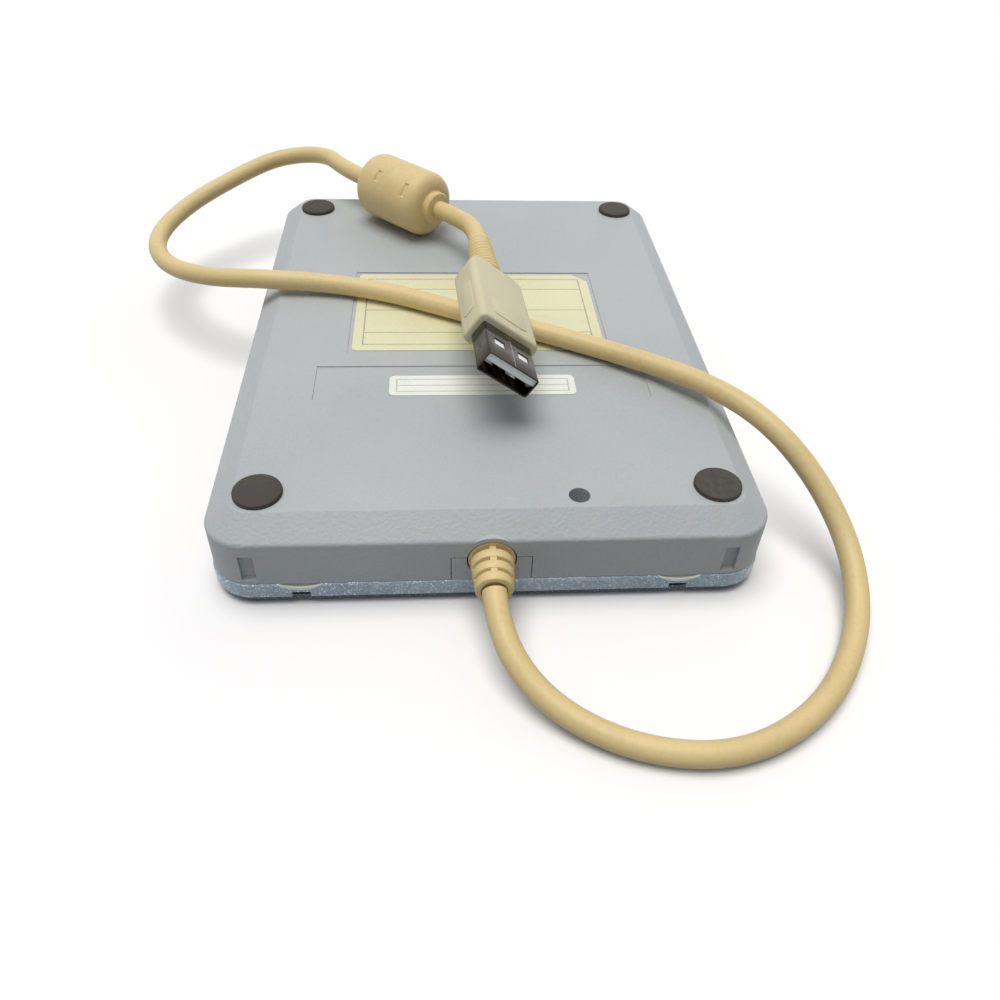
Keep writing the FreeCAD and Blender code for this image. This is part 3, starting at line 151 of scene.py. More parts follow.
# metal flakes in a paint: a few small cells picked at random to shine, a painted glint standing for the
# flakes that face the light
def makeFlakePaint():
    look = {"bright": (0.80, 1.0), "drift": 90.0}
    group, given, out = openGroup(
        "flakePaint", [("Vector", vectorKind, None), ("Flakes", amountKind, 4200.0)],
        [("Sparkle", amountKind), ("Drift", amountKind)])
    where = given["Vector"]
    seed = wire(group, "ShaderNodeTexVoronoi", None, Vector=where, Scale=given["Flakes"]).outputs["Color"]
    bright = wire(group, "ShaderNodeSeparateColor", None, Color=seed).outputs[0]
    group.links.new(spread(group, bright, *look["bright"]), out["Sparkle"])
    group.links.new(noise(group, where, look["drift"], 3.0), out["Drift"])
    return group


# drawn or ground metal: long fine lines one way, and smudges
def makeGroundMetal():
    look = {"smudge": 180.0, "smudgeSpan": (0.4, 0.7)}
    group, given, out = openGroup(
        "groundMetal", [("Vector", vectorKind, None), ("Lines", vectorKind, (300.0, 9000.0, 3000.0))],
        [("Height", amountKind), ("Smudge", amountKind)])
    where = given["Vector"]
    drawn = wire(group, "ShaderNodeVectorMath", {"operation": "MULTIPLY"}, i0=where, i1=given["Lines"])
    group.links.new(noise(group, drawn.outputs[0], 1.0, 3.0, 0.65), out["Height"])
    smudge = spread(group, noise(group, where, look["smudge"], 3.0), *look["smudgeSpan"])
    group.links.new(smudge, out["Smudge"])
    return group


# a plain ruled form in thin ink: an outline and rows, no writing
def makeRuledForm():
    look = {"breaks": 5200.0, "breakSpan": (0.30, 0.42)}
    group, given, out = openGroup(
        "ruledForm",
        [("Vector", vectorKind, None), ("Wide", amountKind, 0.0265), ("Deep", amountKind, 0.0152),
         ("Row", amountKind, 0.0062), ("Pen", amountKind, 0.00016)],
        [("Ink", amountKind)])
    wide, deep, pen = given["Wide"], given["Deep"], given["Pen"]
    axes = wire(group, "ShaderNodeSeparateXYZ", None, i0=given["Vector"]).outputs
    across, along = calc(group, "ABSOLUTE", axes[0]), calc(group, "ABSOLUTE", axes[1])
    inX = calc(group, "LESS_THAN", across, calc(group, "ADD", wide, pen))
    inY = calc(group, "LESS_THAN", along, calc(group, "ADD", deep, pen))
    outline = calc(group, "MAXIMUM", calc(group, "COMPARE", across, wide, pen),
                   calc(group, "COMPARE", along, deep, pen))
    rows = calc(group, "LESS_THAN", calc(group, "PINGPONG", axes[1], given["Row"]), pen)
    inside = calc(group, "MULTIPLY", inX, inY)
    ink = calc(group, "MULTIPLY", calc(group, "MAXIMUM", outline, rows), inside)
    broken = spread(group, noise(group, given["Vector"], look["breaks"]), *look["breakSpan"])
    group.links.new(calc(group, "MULTIPLY", ink, broken), out["Ink"])
    return group


mouldGrain, handling, flakePaint = makeMouldGrain(), makeHandling(), makeFlakePaint()
groundMetal, ruledForm = makeGroundMetal(), makeRuledForm()
print("groups ready")


# a material with its Principled shader and the object coordinates that its groups take
def startFinish(name, look):
    material = bpy.data.materials.new(name)
    material.use_nodes = True
    tree = material.node_tree
    shader = tree.nodes["Principled BSDF"]
    for key, amount in look.get("shader", {}).items():
        shader.inputs[key].default_value = amount
    where = wire(tree, "ShaderNodeTexCoord").outputs["Object"]
    return material, tree, shader, where


def place(tree, group, **links):
    node = tree.nodes.new("ShaderNodeGroup")
    node.node_tree = group
    for key, amount in links.items():
        join(tree, node.inputs[key], amount)
    return node.outputs


def press(tree, shader, height, depth):
    bump = wire(tree, "ShaderNodeBump", None, Strength=1.0, Distance=depth, Height=height)
    tree.links.new(bump.outputs[0], shader.inputs["Normal"])


# moulded plastic, rubber or paper: two tones, grain, grime in the tone and shine in the scuffs
def plasticFinish(name, look):
    material, tree, shader, where = startFinish(name, look)
    grain = place(tree, mouldGrain, Vector=where, Grain=look["grain"])
    marks = place(tree, handling, Vector=where, Spread=look.get("spread", 34.0))
    colour = blendTones(tree, spread(tree, grain["Shade"], 0.3, 0.7), look["colour"], look["shade"])
    grime = calc(tree, "MULTIPLY", marks["Grime"], look["grime"])
    colour = blendTones(tree, grime, colour, look.get("dirt", tone(96, 84, 66)))
    scuff = calc(tree, "MULTIPLY", marks["Scuff"], look.get("scuff", 0.25))
    colour = blendTones(tree, scuff, colour, look.get("rub", tone(235, 235, 235)))
    if "form" in look:
        colour = printForm(tree, where, colour, look["form"])
    tree.links.new(colour, shader.inputs["Base Color"])
    smooth, dull = look["rough"]
    worn = calc(tree, "ADD", marks["Scuff"], grain["Shade"])
    tree.links.new(spread(tree, worn, 0.2, 1.2, dull, smooth), shader.inputs["Roughness"])
    press(tree, shader, grain["Height"], look["depth"])
    return material


def printForm(tree, where, colour, form):
    centred = wire(tree, "ShaderNodeMapping", {"vector_type": "POINT"}, Vector=where,
                   Location=form["move"]).outputs[0]
    ink = place(tree, ruledForm, Vector=centred, Wide=form["wide"], Deep=form["deep"], Row=form["row"])["Ink"]
    return blendTones(tree, calc(tree, "MULTIPLY", ink, form["weight"]), colour, form["ink"])


# plastic painted with metal flakes
def paintFinish(name, look):
    material, tree, shader, where = startFinish(name, look)
    paint = place(tree, flakePaint, Vector=where, Flakes=look["flakes"])
    marks = place(tree, handling, Vector=where)
    colour = blendTones(tree, spread(tree, paint["Drift"], 0.35, 0.65), look["colour"], look["shade"])
    # the bright flakes are partly the paint's own silver and partly a painted glint: the cells that shine are
    # picked at random, whatever way the light falls
    paintedGlint = calc(tree, "MULTIPLY", paint["Sparkle"], look["paintedGlint"])
    colour = blendTones(tree, paintedGlint, colour, look["flake"])
    grime = calc(tree, "MULTIPLY", marks["Grime"], look["grime"])
    colour = blendTones(tree, grime, colour, look["dirt"])
    metal = calc(tree, "MULTIPLY", paint["Sparkle"], look["metal"])
    # a pale crescent painted under each pry scallop, a painted highlight with no metal in it
    if "paintedHighlight" in look:
        highlightSpot = paintedHighlightMask(tree, where, look["paintedHighlight"])
        colour = blendTones(tree, highlightSpot, colour, look["paintedHighlight"]["tone"])
        metal = calc(tree, "MULTIPLY", metal, calc(tree, "SUBTRACT", 1.0, highlightSpot))
    tree.links.new(colour, shader.inputs["Base Color"])
    tree.links.new(metal, shader.inputs["Metallic"])
    tree.links.new(spread(tree, marks["Grime"], 0.0, 1.0, *look["rough"]), shader.inputs["Roughness"])
    press(tree, shader, paint["Sparkle"], look["depth"])
    return material


# two round spots on the cord end, under the pry scallops, painted pale: a painted highlight standing for the
# light the scallops catch
def paintedHighlightMask(tree, where, paintedHighlight):
    spot = wire(tree, "ShaderNodeSeparateXYZ", None, i0=where).outputs
    sideways = calc(tree, "SUBTRACT", calc(tree, "ABSOLUTE", spot[0]), paintedHighlight["across"] * mm)
    upward = calc(tree, "SUBTRACT", spot[2], paintedHighlight["centre"] * mm)
    reachSquared = calc(tree, "MULTIPLY_ADD", sideways, sideways, calc(tree, "MULTIPLY", upward, upward))
    inRound = calc(tree, "LESS_THAN", reachSquared, (paintedHighlight["radius"] * mm) ** 2)
    return calc(tree, "MULTIPLY", inRound, calc(tree, "LESS_THAN", spot[1], paintedHighlight["behind"] * mm))


# bare or plated metal with its grinding lines and smudges
def metalFinish(name, look):
    material, tree, shader, where = startFinish(name, look)
    ground = place(tree, groundMetal, Vector=where, Lines=look["lines"])
    colour = blendTones(tree, ground["Smudge"], look["colour"], look["shade"])
    tree.links.new(colour, shader.inputs["Base Color"])
    worn = calc(tree, "MULTIPLY_ADD", ground["Height"], 0.4, ground["Smudge"])
    tree.links.new(spread(tree, worn, 0.1, 1.2, *look["rough"]), shader.inputs["Roughness"])
    press(tree, shader, ground["Height"], look["depth"])
    return material


formInk = tone(70, 68, 62)
finishes = {
    "casingGrey": plasticFinish("casingGrey", {
        "colour": tone(182, 184, 184), "shade": tone(169, 173, 175), "grain": 2300.0, "depth": 0.00007,
        "grime": 0.10, "scuff": 0.22, "rough": (0.42, 0.60)}),
    "bandSilver": paintFinish("bandSilver", {
        "colour": tone(158, 176, 190), "shade": tone(144, 164, 180), "flake": tone(240, 246, 250),
        "flakes": 5600.0, "paintedGlint": 0.7, "metal": 0.9, "grime": 0.25, "dirt": tone(70, 68, 62),
        "depth": 0.000005, "rough": (0.30, 0.50), "shader": {"Coat Weight": 0.35, "Coat Roughness": 0.18},
        # the pale crescents under the pry scallops are a painted highlight
        "paintedHighlight": {"across": 35.3, "centre": 10.3, "radius": 6.45, "behind": -69.0,
                 "tone": tone(240, 242, 230)}}),
    "lidNavy": paintFinish("lidNavy", {
        "colour": tone(30, 44, 60), "shade": tone(22, 34, 48), "flake": tone(150, 178, 205),
        "flakes": 7600.0, "paintedGlint": 0.8, "metal": 0.9, "grime": 0.25, "dirt": tone(70, 68, 62),
        "depth": 0.00001, "rough": (0.28, 0.48), "shader": {"Coat Weight": 0.4, "Coat Roughness": 0.15}}),
    "footRubber": plasticFinish("footRubber", {
        "colour": tone(58, 52, 46), "shade": tone(44, 40, 36), "grain": 1900.0, "depth": 0.00009,
        "grime": 0.35, "scuff": 0.5, "rub": tone(120, 112, 104), "dirt": tone(120, 110, 96),
        "rough": (0.55, 0.8)}),
    "labelCream": plasticFinish("labelCream", {
        "colour": tone(226, 221, 184), "shade": tone(214, 208, 168), "grain": 1500.0, "depth": 0.00002,
        "grime": 0.22, "scuff": 0.3, "rough": (0.38, 0.52),
        "form": {"move": (0.0, -0.0034, 0.0), "wide": 0.0262, "deep": 0.0150, "row": 0.0050,
                 "weight": 0.55, "ink": formInk}}),
    "labelWhite": plasticFinish("labelWhite", {
        "colour": tone(240, 240, 232), "shade": tone(228, 228, 220), "grain": 1500.0, "depth": 0.00002,
        "grime": 0.2, "scuff": 0.2, "rough": (0.38, 0.52),
        "form": {"move": (0.0, 0.0276, 0.0), "wide": 0.0182, "deep": 0.0022, "row": 0.0060,
                 "weight": 0.4, "ink": formInk}}),
    "cordTan": plasticFinish("cordTan", {
        "colour": tone(226, 201, 146), "shade": tone(213, 187, 130), "grain": 1100.0, "depth": 0.00002,
        "spread": 55.0, "grime": 0.22, "scuff": 0.15, "dirt": tone(120, 92, 58), "rough": (0.36, 0.52),
        "shader": {"Subsurface Weight": 0.06, "Subsurface Scale": 0.002}}),
    "plugBeige": plasticFinish("plugBeige", {
        "colour": tone(212, 203, 170), "shade": tone(200, 190, 154), "grain": 1600.0, "depth": 0.00004,
        "grime": 0.25, "scuff": 0.25, "dirt": tone(120, 104, 78), "rough": (0.38, 0.55),
        "shader": {"Subsurface Weight": 0.05, "Subsurface Scale": 0.002}}),
    # the shell steel's near-black brownish tone is a painted reflection of dark surroundings; bare steel
    # would be far lighter
    "shellSteelPaintedDark": metalFinish("shellSteelPaintedDark", {
        "colour": (0.060, 0.051, 0.041, 1), "shade": (0.036, 0.031, 0.026, 1),
        "lines": (9000.0, 500.0, 3000.0), "depth": 0.000002, "rough": (0.10, 0.26),
        "shader": {"Metallic": 1.0}}),
    "brightSteel": metalFinish("brightSteel", {
        "colour": (0.62, 0.62, 0.62, 1), "shade": (0.48, 0.48, 0.49, 1),
        "lines": (9000.0, 900.0, 9000.0), "depth": 0.000004, "rough": (0.18, 0.36),
        "shader": {"Metallic": 1.0}}),
    "zincSheet": metalFinish("zincSheet", {
        "colour": (0.56, 0.57, 0.59, 1), "shade": (0.42, 0.43, 0.46, 1),
        "lines": (700.0, 6000.0, 2000.0), "depth": 0.000006, "rough": (0.28, 0.5),
        "shader": {"Metallic": 1.0}}),
    "goldPlate": metalFinish("goldPlate", {
        "colour": (0.82, 0.60, 0.24, 1), "shade": (0.62, 0.42, 0.14, 1),
        "lines": (500.0, 9000.0, 3000.0), "depth": 0.000003, "rough": (0.16, 0.34),
        "shader": {"Metallic": 1.0}}),
    "windingCopper": metalFinish("windingCopper", {
        "colour": (0.62, 0.26, 0.10, 1), "shade": (0.40, 0.15, 0.06, 1),
        "lines": (3000.0, 3000.0, 9000.0), "depth": 0.00004, "rough": (0.25, 0.45),
        "shader": {"Metallic": 0.9}}),
    "tongueWhite": plasticFinish("tongueWhite", {
        "colour": tone(250, 250, 246), "shade": tone(244, 244, 240), "grain": 1500.0, "depth": 0.00001,
        "grime": 0.15, "rough": (0.30, 0.42)}),
    "carrierBlack": plasticFinish("carrierBlack", {
        "colour": tone(38, 38, 40), "shade": tone(28, 28, 30), "grain": 2200.0, "depth": 0.00004,
        "grime": 0.2, "dirt": tone(90, 88, 84), "rub": tone(110, 110, 112), "rough": (0.40, 0.6)}),
    "boardGreen": plasticFinish("boardGreen", {
        "colour": tone(24, 92, 52), "shade": tone(16, 76, 42), "grain": 1200.0, "depth": 0.00003,
        "grime": 0.15, "rough": (0.28, 0.42), "shader": {"Coat Weight": 0.3}}),
    "flexAmber": plasticFinish("flexAmber", {
        "colour": tone(190, 132, 52), "shade": tone(168, 112, 38), "grain": 1400.0, "depth": 0.00002,
        "grime": 0.15, "rough": (0.26, 0.4)}),
    "ferriteGrey": plasticFinish("ferriteGrey", {
        "colour": tone(64, 64, 68), "shade": tone(48, 48, 52), "grain": 2600.0, "depth": 0.00005,
        "grime": 0.2, "rough": (0.4, 0.6)}),
    "lensGreen": plasticFinish("lensGreen", {
        "colour": tone(92, 160, 84), "shade": tone(74, 140, 70), "grain": 900.0, "depth": 0.00001,
        "grime": 0.1, "rough": (0.12, 0.22), "shader": {"Transmission Weight": 0.35}}),
}

# which solids wear which finish
wears = {
    "casingGrey": ["base_case", "front_bezel", "slot_flap", "eject_button", "cable_entry_cover"],
    "bandSilver": ["trim_frame"],
    "lidNavy": ["top_cover"],
    "footRubber": ["foot_1", "foot_2", "foot_3", "foot_4"],
    "labelCream": ["rating_label"],
    "labelWhite": ["serial_label"],
    "cordTan": ["cord_long", "cord_short", "strain_relief", "ferrite_housing", "plug_boot"],
    "plugBeige": ["plug_body"],
    "shellSteelPaintedDark": ["plug_shell"],
    "brightSteel": ["case_screw", "chassis_screw_1", "chassis_screw_2", "guide_rail", "arm_pin",
                    "latch_pin", "drive_pin", "lead_screw", "eject_spring_1", "eject_spring_2"],
    "zincSheet": ["chassis", "mech_shield", "disk_cage", "eject_slide", "rotor_hub", "head_arm",
                  "stepper_motor", "motor_base"],
    "tongueWhite": ["plug_insulator", "cable_socket"],
    "goldPlate": ["plug_contacts"],
    "carrierBlack": ["head_carriage", "screw_bearing", "rail_clip_rear", "rail_clip_front", "latch_lever",
                     "disk_switch_1", "disk_switch_2", "switch_plunger_1", "switch_plunger_2",
                     "controller_chip", "upper_head", "lower_head"],
    "windingCopper": ["stator"],
    "boardGreen": ["controller_board"],
    "flexAmber": ["motor_flex", "cable_harness"],
    "ferriteGrey": ["ferrite_core"],
    "lensGreen": ["led_lens"],
}
for finish, nodes in wears.items():
    for node in nodes:
        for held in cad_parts[node].material_slots:
            held.material = finishes[finish]

print("finishes ready")


# turns a bmesh into a piece in its place, which stands for a solid or for none
def finishPiece(name, bm, finish, node, pose, smoothUnder=35):
    bmesh.ops.transform(bm, matrix=pose, verts=bm.verts)
    bmesh.ops.recalc_face_normals(bm, faces=bm.faces)
    mesh = bpy.data.meshes.new(name)
    bm.to_mesh(mesh)
    bm.free()
    piece = bpy.data.objects.new(name, mesh)
    bpy.context.scene.collection.objects.link(piece)
    mesh.materials.append(finishes[finish])
    for face in mesh.polygons:
        face.use_smooth = True
    mesh.set_sharp_from_angle(angle=math.radians(smoothUnder))
    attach(piece, "drive")
    if node:
        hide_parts(node)
    return piece


# spins a line of (radius, height) about Z; a radius of nought closes on the axis
def lathe(profile, steps=64):
    bm = bmesh.new()
    line = [bm.verts.new((radius * mm, 0, height * mm)) for radius, height in profile]
    edges = [bm.edges.new(pair) for pair in zip(line, line[1:])]
    bmesh.ops.spin(bm, geom=line + edges, cent=(0, 0, 0), axis=(0, 0, 1), angle=2 * math.pi, steps=steps,
                   use_merge=True)
    bmesh.ops.remove_doubles(bm, verts=bm.verts, dist=0.001 * mm)
    bmesh.ops.recalc_face_normals(bm, faces=bm.faces)
    return bm


def roundEdges(bm, edges, width, segments, clamp=True):
    bmesh.ops.bevel(bm, geom=edges, offset=width * mm, offset_type="OFFSET", affect="EDGES",
                    segments=segments, profile=0.5, material=-1, clamp_overlap=clamp)


# breaks every edge that turns by more than some degrees
def softenEdges(bm, width, over, segments=2):
    sharp = [edge for edge in bm.edges if edge.is_manifold and edge.calc_face_angle(0) > math.radians(over)]
    roundEdges(bm, sharp, width, segments)


# the edges that run along one axis for more than a tenth of a millimetre
def edgesAlong(bm, axis, over=0.1):
    return [edge for edge in bm.edges
            if abs((edge.verts[0].co - edge.verts[1].co)[axis]) > over * mm]


def block(low, high):
    bm = bmesh.new()
    bmesh.ops.create_cube(bm, size=1)
    size = [(b - a) * mm for a, b in zip(low, high)]
    middle = [(a + b) / 2 * mm for a, b in zip(low, high)]
    stretched = Matrix.Translation(middle) @ Matrix.Diagonal((*size, 1))
    bmesh.ops.transform(bm, matrix=stretched, verts=bm.verts)
    return bm


# splits the faces that a plane passes through
def cutAcross(bm, spot, facing):
    bmesh.ops.bisect_plane(bm, geom=bm.verts[:] + bm.edges[:] + bm.faces[:], dist=0.0001 * mm,
                           plane_co=inMetres(spot), plane_no=facing)


# adds another bmesh's shape to this one
def drawIn(bm, other):
    mesh = bpy.data.meshes.new("spare")
    other.to_mesh(mesh)
    bm.from_mesh(mesh)
    bpy.data.meshes.remove(mesh)
    other.free()


def turn(degrees, axis):
    return Matrix.Rotation(math.radians(degrees), 4, axis)


towardCord = turn(90, "X")   # local Z runs to -Y

# Cord: the same points as the solid, as the control points of one smooth line
cordLook = {
    "radius": 2.25,
    "long": [(-0.3, -78.6, 10.5), (0.1, -87.8, 8.4), (8.0, -98.0, 3.4), (21.5, -106.0, 2.45),
             (38.3, -107.8, 2.45), (54.5, -99.6, 2.45), (66.2, -84.3, 2.6), (69.8, -68.7, 6.6),
             (65.2, -56.1, 14.6), (56.4, -45.5, 21.9), (46.3, -33.5, 22.9), (33.5, -21.7, 21.25),
             (15.8, -11.5, 21.2), (-3.4, -1.9, 21.2), (-20.4, 7.3, 21.2), (-35.6, 11.5, 21.4),
             (-51.0, 11.6, 22.4), (-66.1, 16.6, 20.2), (-78.7, 28.4, 17.4), (-84.5, 43.5, 17.0),
             (-79.2, 59.0, 19.2), (-67.0, 72.9, 22.1), (-55.4, 82.4, 24.5), (-41.1, 79.2, 26.8),
             (-34.4, 65.9, 27.3), (-27.32, 58.82, 27.3)],
    "short": [(-8.58, 40.08, 27.3), (-4.0, 35.5, 27.3), (0.53, 25.5, 28.9), (0.94, 16.5, 29.28)],
}


def layCord(name, points, node):
    curve = bpy.data.curves.new(name, "CURVE")
    curve.dimensions = "3D"
    curve.bevel_depth = cordLook["radius"] * mm
    curve.bevel_resolution = 8
    curve.resolution_u = 16
    curve.use_fill_caps = True
    spline = curve.splines.new("NURBS")
    spline.points.add(len(points) - 1)
    for spot, point in zip(spline.points, points):
        spot.co = (*inMetres(point), 1)
    spline.order_u = 3
    spline.use_endpoint_u = True
    curve.materials.append(finishes["cordTan"])
    piece = bpy.data.objects.new(name, curve)
    bpy.context.scene.collection.objects.link(piece)
    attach(piece, "drive")
    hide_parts(node)
    return piece


longCord = layCord("longCord", cordLook["long"], "cord_long")
shortCord = layCord("shortCord", cordLook["short"], "cord_short")
print("cord laid")

# Strain relief where the cord leaves the casing: a core behind a collar, three tapering rings,
# and narrow bridges across the slots between them
reliefLook = {
    "exit": (-0.3, -71.0, 10.5),
    "core": [(0, -2.0), (4.35, -2.0), (4.35, -0.2), (4.15, 0.0), (2.95, 0.0), (2.95, 7.1), (0, 7.1)],
    "bore": 2.4,
    # start, end, and the radius at each
    "rings": ((0.85, 2.65, 4.05, 3.92), (3.35, 5.15, 3.84, 3.70), (5.85, 7.6, 3.60, 3.40)),
    "slots": ((0.0, 1.2, 3.85), (2.5, 3.6, 3.74), (5.0, 6.1, 3.5)),   # start, end, reach of the bridges
    "bridge": {"half": 0.62, "inner": 2.0, "soft": 0.14},
}


# a ring with rounded rims, from its bore outwards and back
def ringLine(bore, start, end, near, far):
    return [(bore, start), (near - 0.25, start), (near - 0.07, start + 0.07), (near, start + 0.25),
            (far, end - 0.3), (far - 0.09, end - 0.09), (far - 0.3, end), (bore, end)]


def makeStrainRelief(look):
    relief, bridge = lathe(look["core"]), look["bridge"]
    for ring in look["rings"]:
        drawIn(relief, lathe(ringLine(look["bore"], *ring), 80))
    for start, end, reach in look["slots"]:
        for side in (0, 90, 180, 270):
            web = block((-bridge["half"], bridge["inner"], start), (bridge["half"], reach, end))
            softenEdges(web, bridge["soft"], 30)
            bmesh.ops.transform(web, matrix=turn(side, "Z"), verts=web.verts)
            drawIn(relief, web)
    pose = Matrix.Translation(inMetres(look["exit"])) @ towardCord
    return finishPiece("strainRelief", relief, "cordTan", "strain_relief", pose)


strainRelief = makeStrainRelief(reliefLook)

# Ferrite housing: a drum with soft ends on two collars, a fine mould line round its middle,
# and two tool marks in its side
ferriteLook = {
    "centre": (-17.95, 49.45, 27.3), "yaw": 45, "radius": 8.2, "drum": 11.25, "soft": 3.2,
    "collar": [(0, 13.1), (3.0, 13.25), (3.9, 13.1), (4.2, 12.7), (4.2, 11.4), (4.4, 11.25)],
    "mouldLine": ((0, 0.12), (0.03, 0.05), (0.03, -0.05), (0, -0.12)),   # stands out, height
    "marks": ({"along": -3.5, "round": 135}, {"along": 7.0, "round": 139}),
    "markTurn": 13, "markCut": 0.8, "markHalf": 0.75,
    "markSteps": ((0.12, -0.05), (0.22, -0.28), (0.12, -0.12)),   # inset, sink
}


def pressMark(bm, mark, look):
    for cutAt in (mark["along"] - look["markCut"], mark["along"] + look["markCut"]):
        cutAcross(bm, (0, 0, cutAt), (0, 0, 1))
    dent = []
    for face in bm.faces:
        middle = face.calc_center_median() / mm
        around = (math.degrees(math.atan2(middle.y, middle.x)) - mark["round"] + 180) % 360 - 180
        onDrum = middle.xy.length > 0.9 * look["radius"]
        if onDrum and abs(around) < look["markTurn"] and abs(middle.z - mark["along"]) < look["markHalf"]:
            dent.append(face)
    for width, sink in look["markSteps"]:
        bmesh.ops.inset_region(bm, faces=dent, thickness=width * mm, depth=sink * mm)


def makeFerriteHousing(look):
    half, soft, wide = look["drum"], look["soft"], look["radius"]
    turns = [math.radians(degrees) for degrees in range(0, 91, 10)]
    shoulder = [(wide - soft + soft * math.sin(a), half - soft + soft * math.cos(a)) for a in turns]
    end = look["collar"] + shoulder
    middle = [(wide + out, height) for out, height in look["mouldLine"]]
    housing = lathe(end + middle + [(radius, -height) for radius, height in reversed(end)], 96)
    for mark in look["marks"]:
        pressMark(housing, mark, look)
    pose = Matrix.Translation(inMetres(look["centre"])) @ turn(look["yaw"], "Z") @ towardCord
    return finishPiece("ferriteHousing", housing, "cordTan", "ferrite_housing", pose)


ferriteHousing = makeFerriteHousing(ferriteLook)

# Plug: in its own frame the tip points to -Y, and the boot is at its back
plugLook = {
    "spot": (3.15, -31.4, 31.3), "yaw": 0.9, "roll": 36, "pitch": -3,
    "half": (7.3, 3.7), "length": 25, "taper": 4, "endHalf": (5.1, 3.3),
    "corner": 1.5, "rim": 0.6, "soft": 0.22, "padSoft": 0.12,
    "pads": (((-4.1, 2.8, 3.3), (4.1, 9.8, 3.92), 1.0), ((-4.1, 2.8, -3.92), (4.1, 9.8, -3.3), 1.0),
             ((-7.5, 5.0, -1.7), (-6.9, 17.0, 1.7), 0.8), ((6.9, 5.0, -1.7), (7.5, 17.0, 1.7), 0.8)),
}
plugPose = (Matrix.Translation(inMetres(plugLook["spot"])) @ turn(plugLook["yaw"], "Z")
            @ turn(plugLook["roll"], "Y") @ turn(plugLook["pitch"], "X"))


# a grip that narrows at its back, with a raised pad on each of its four sides
def makePlugBody(look):
    (wide, high), (endWide, endHigh) = look["half"], look["endHalf"]
    grip = block((-wide, 0, -high), (wide, look["length"], high))
    back = next(face for face in grip.faces if face.normal.y > 0.9)
    grown = bmesh.ops.extrude_face_region(grip, geom=[back])
    bmesh.ops.delete(grip, geom=[back], context="FACES_ONLY")
    rear = [item for item in grown["geom"] if isinstance(item, bmesh.types.BMVert)]
    bmesh.ops.translate(grip, verts=rear, vec=(0, look["taper"] * mm, 0))
    bmesh.ops.scale(grip, verts=rear, vec=(endWide / wide, 1, endHigh / high))
    roundEdges(grip, edgesAlong(grip, 1, 5), look["corner"], 5)
    frontRim = [edge for edge in grip.edges if all(vert.co.y < 0.01 * mm for vert in edge.verts)]
    roundEdges(grip, frontRim, look["rim"], 4)
    softenEdges(grip, look["soft"], 40)
    for low, high, corner in look["pads"]:
        pad = block(low, high)
        thin = min(range(3), key=lambda axis: high[axis] - low[axis])
        roundEdges(pad, edgesAlong(pad, thin), corner, 4, False)
        softenEdges(pad, look["padSoft"], 40)
        drawIn(grip, pad)
    return finishPiece("plugBody", grip, "plugBeige", "plug_body", plugPose, 40)


plugBody = makePlugBody(plugLook)

# Plug shell: a folded sheet sleeve with four windows
shellLook = {
    "half": 6.0, "height": 2.25, "length": 12.0, "sheet": 0.3, "fold": 0.55, "rim": 0.07,
    "window": {"centre": 2.9, "reach": 1.25, "span": (-7.2, -4.9)},
}


def makePlugShell(look):
    wide, high, window = look["half"], look["height"], look["window"]
    sleeve = block((-wide, -look["length"], -high), (wide, 0, high))
    ends = [face for face in sleeve.faces if abs(face.normal.y) > 0.9]
    bmesh.ops.delete(sleeve, geom=ends, context="FACES_ONLY")
    roundEdges(sleeve, edgesAlong(sleeve, 1, 5), look["fold"], 5, False)
    for side in (-1, 1):
        for end in (-1, 1):
            cutAcross(sleeve, (side * window["centre"] + end * window["reach"], 0, 0), (1, 0, 0))
    for along in window["span"]:
        cutAcross(sleeve, (0, along, 0), (0, 1, 0))
    gone = []
    for face in sleeve.faces:
        middle = face.calc_center_median() / mm
        inWidth = abs(abs(middle.x) - window["centre"]) < window["reach"]
        if abs(face.normal.z) > 0.9 and inWidth and window["span"][0] < middle.y < window["span"][1]:
            gone.append(face)
    bmesh.ops.delete(sleeve, geom=gone, context="FACES_ONLY")
    bmesh.ops.recalc_face_normals(sleeve, faces=sleeve.faces)
    piece = finishPiece("plugShell", sleeve, "shellSteelPaintedDark", "plug_shell", plugPose, 30)
    wall = piece.modifiers.new("sheet", "SOLIDIFY")
    wall.thickness, wall.offset, wall.use_even_offset = look["sheet"] * mm, -1, True
    rim = piece.modifiers.new("rim", "BEVEL")
    rim.width, rim.segments = look["rim"] * mm, 2
    rim.limit_method, rim.angle_limit = "ANGLE", math.radians(50)
    return piece


plugShell = makePlugShell(shellLook)

# The sheet's joint down the middle of the shell, with three short tabs across it, in bright steel: the
# steel's own tone, but its light line against the darkened shell is a painted highlight along the joint
seamLook = {
    "line": ((0.1, -11.9, 2.2), (0.18, -0.1, 2.262)),
    "tab": ((-0.5, -9.9, 2.2), (0.14, -9.82, 2.262)), "tabs": 3, "pitch": 3.4,
}


def makePlugSeam(look):
    seam = block(*look["line"])
    for number in range(look["tabs"]):
        low, high = ((x, y + look["pitch"] * number, z) for x, y, z in look["tab"])
        drawIn(seam, block(low, high))
    return finishPiece("plugSeam", seam, "brightSteel", None, plugPose)


plugSeam = makePlugSeam(seamLook)

# Boot behind the plug: a core and eleven ribs, each a little smaller than the last
bootLook = {
    "core": [(0, 29.0), (2.65, 29.0), (2.65, 47.7), (2.35, 48.0), (0, 48.0)],
    "ribs": 11, "first": 29.4, "pitch": 1.65, "rib": 1.05, "soft": 0.25, "radius": 3.5, "fall": 0.07,
}


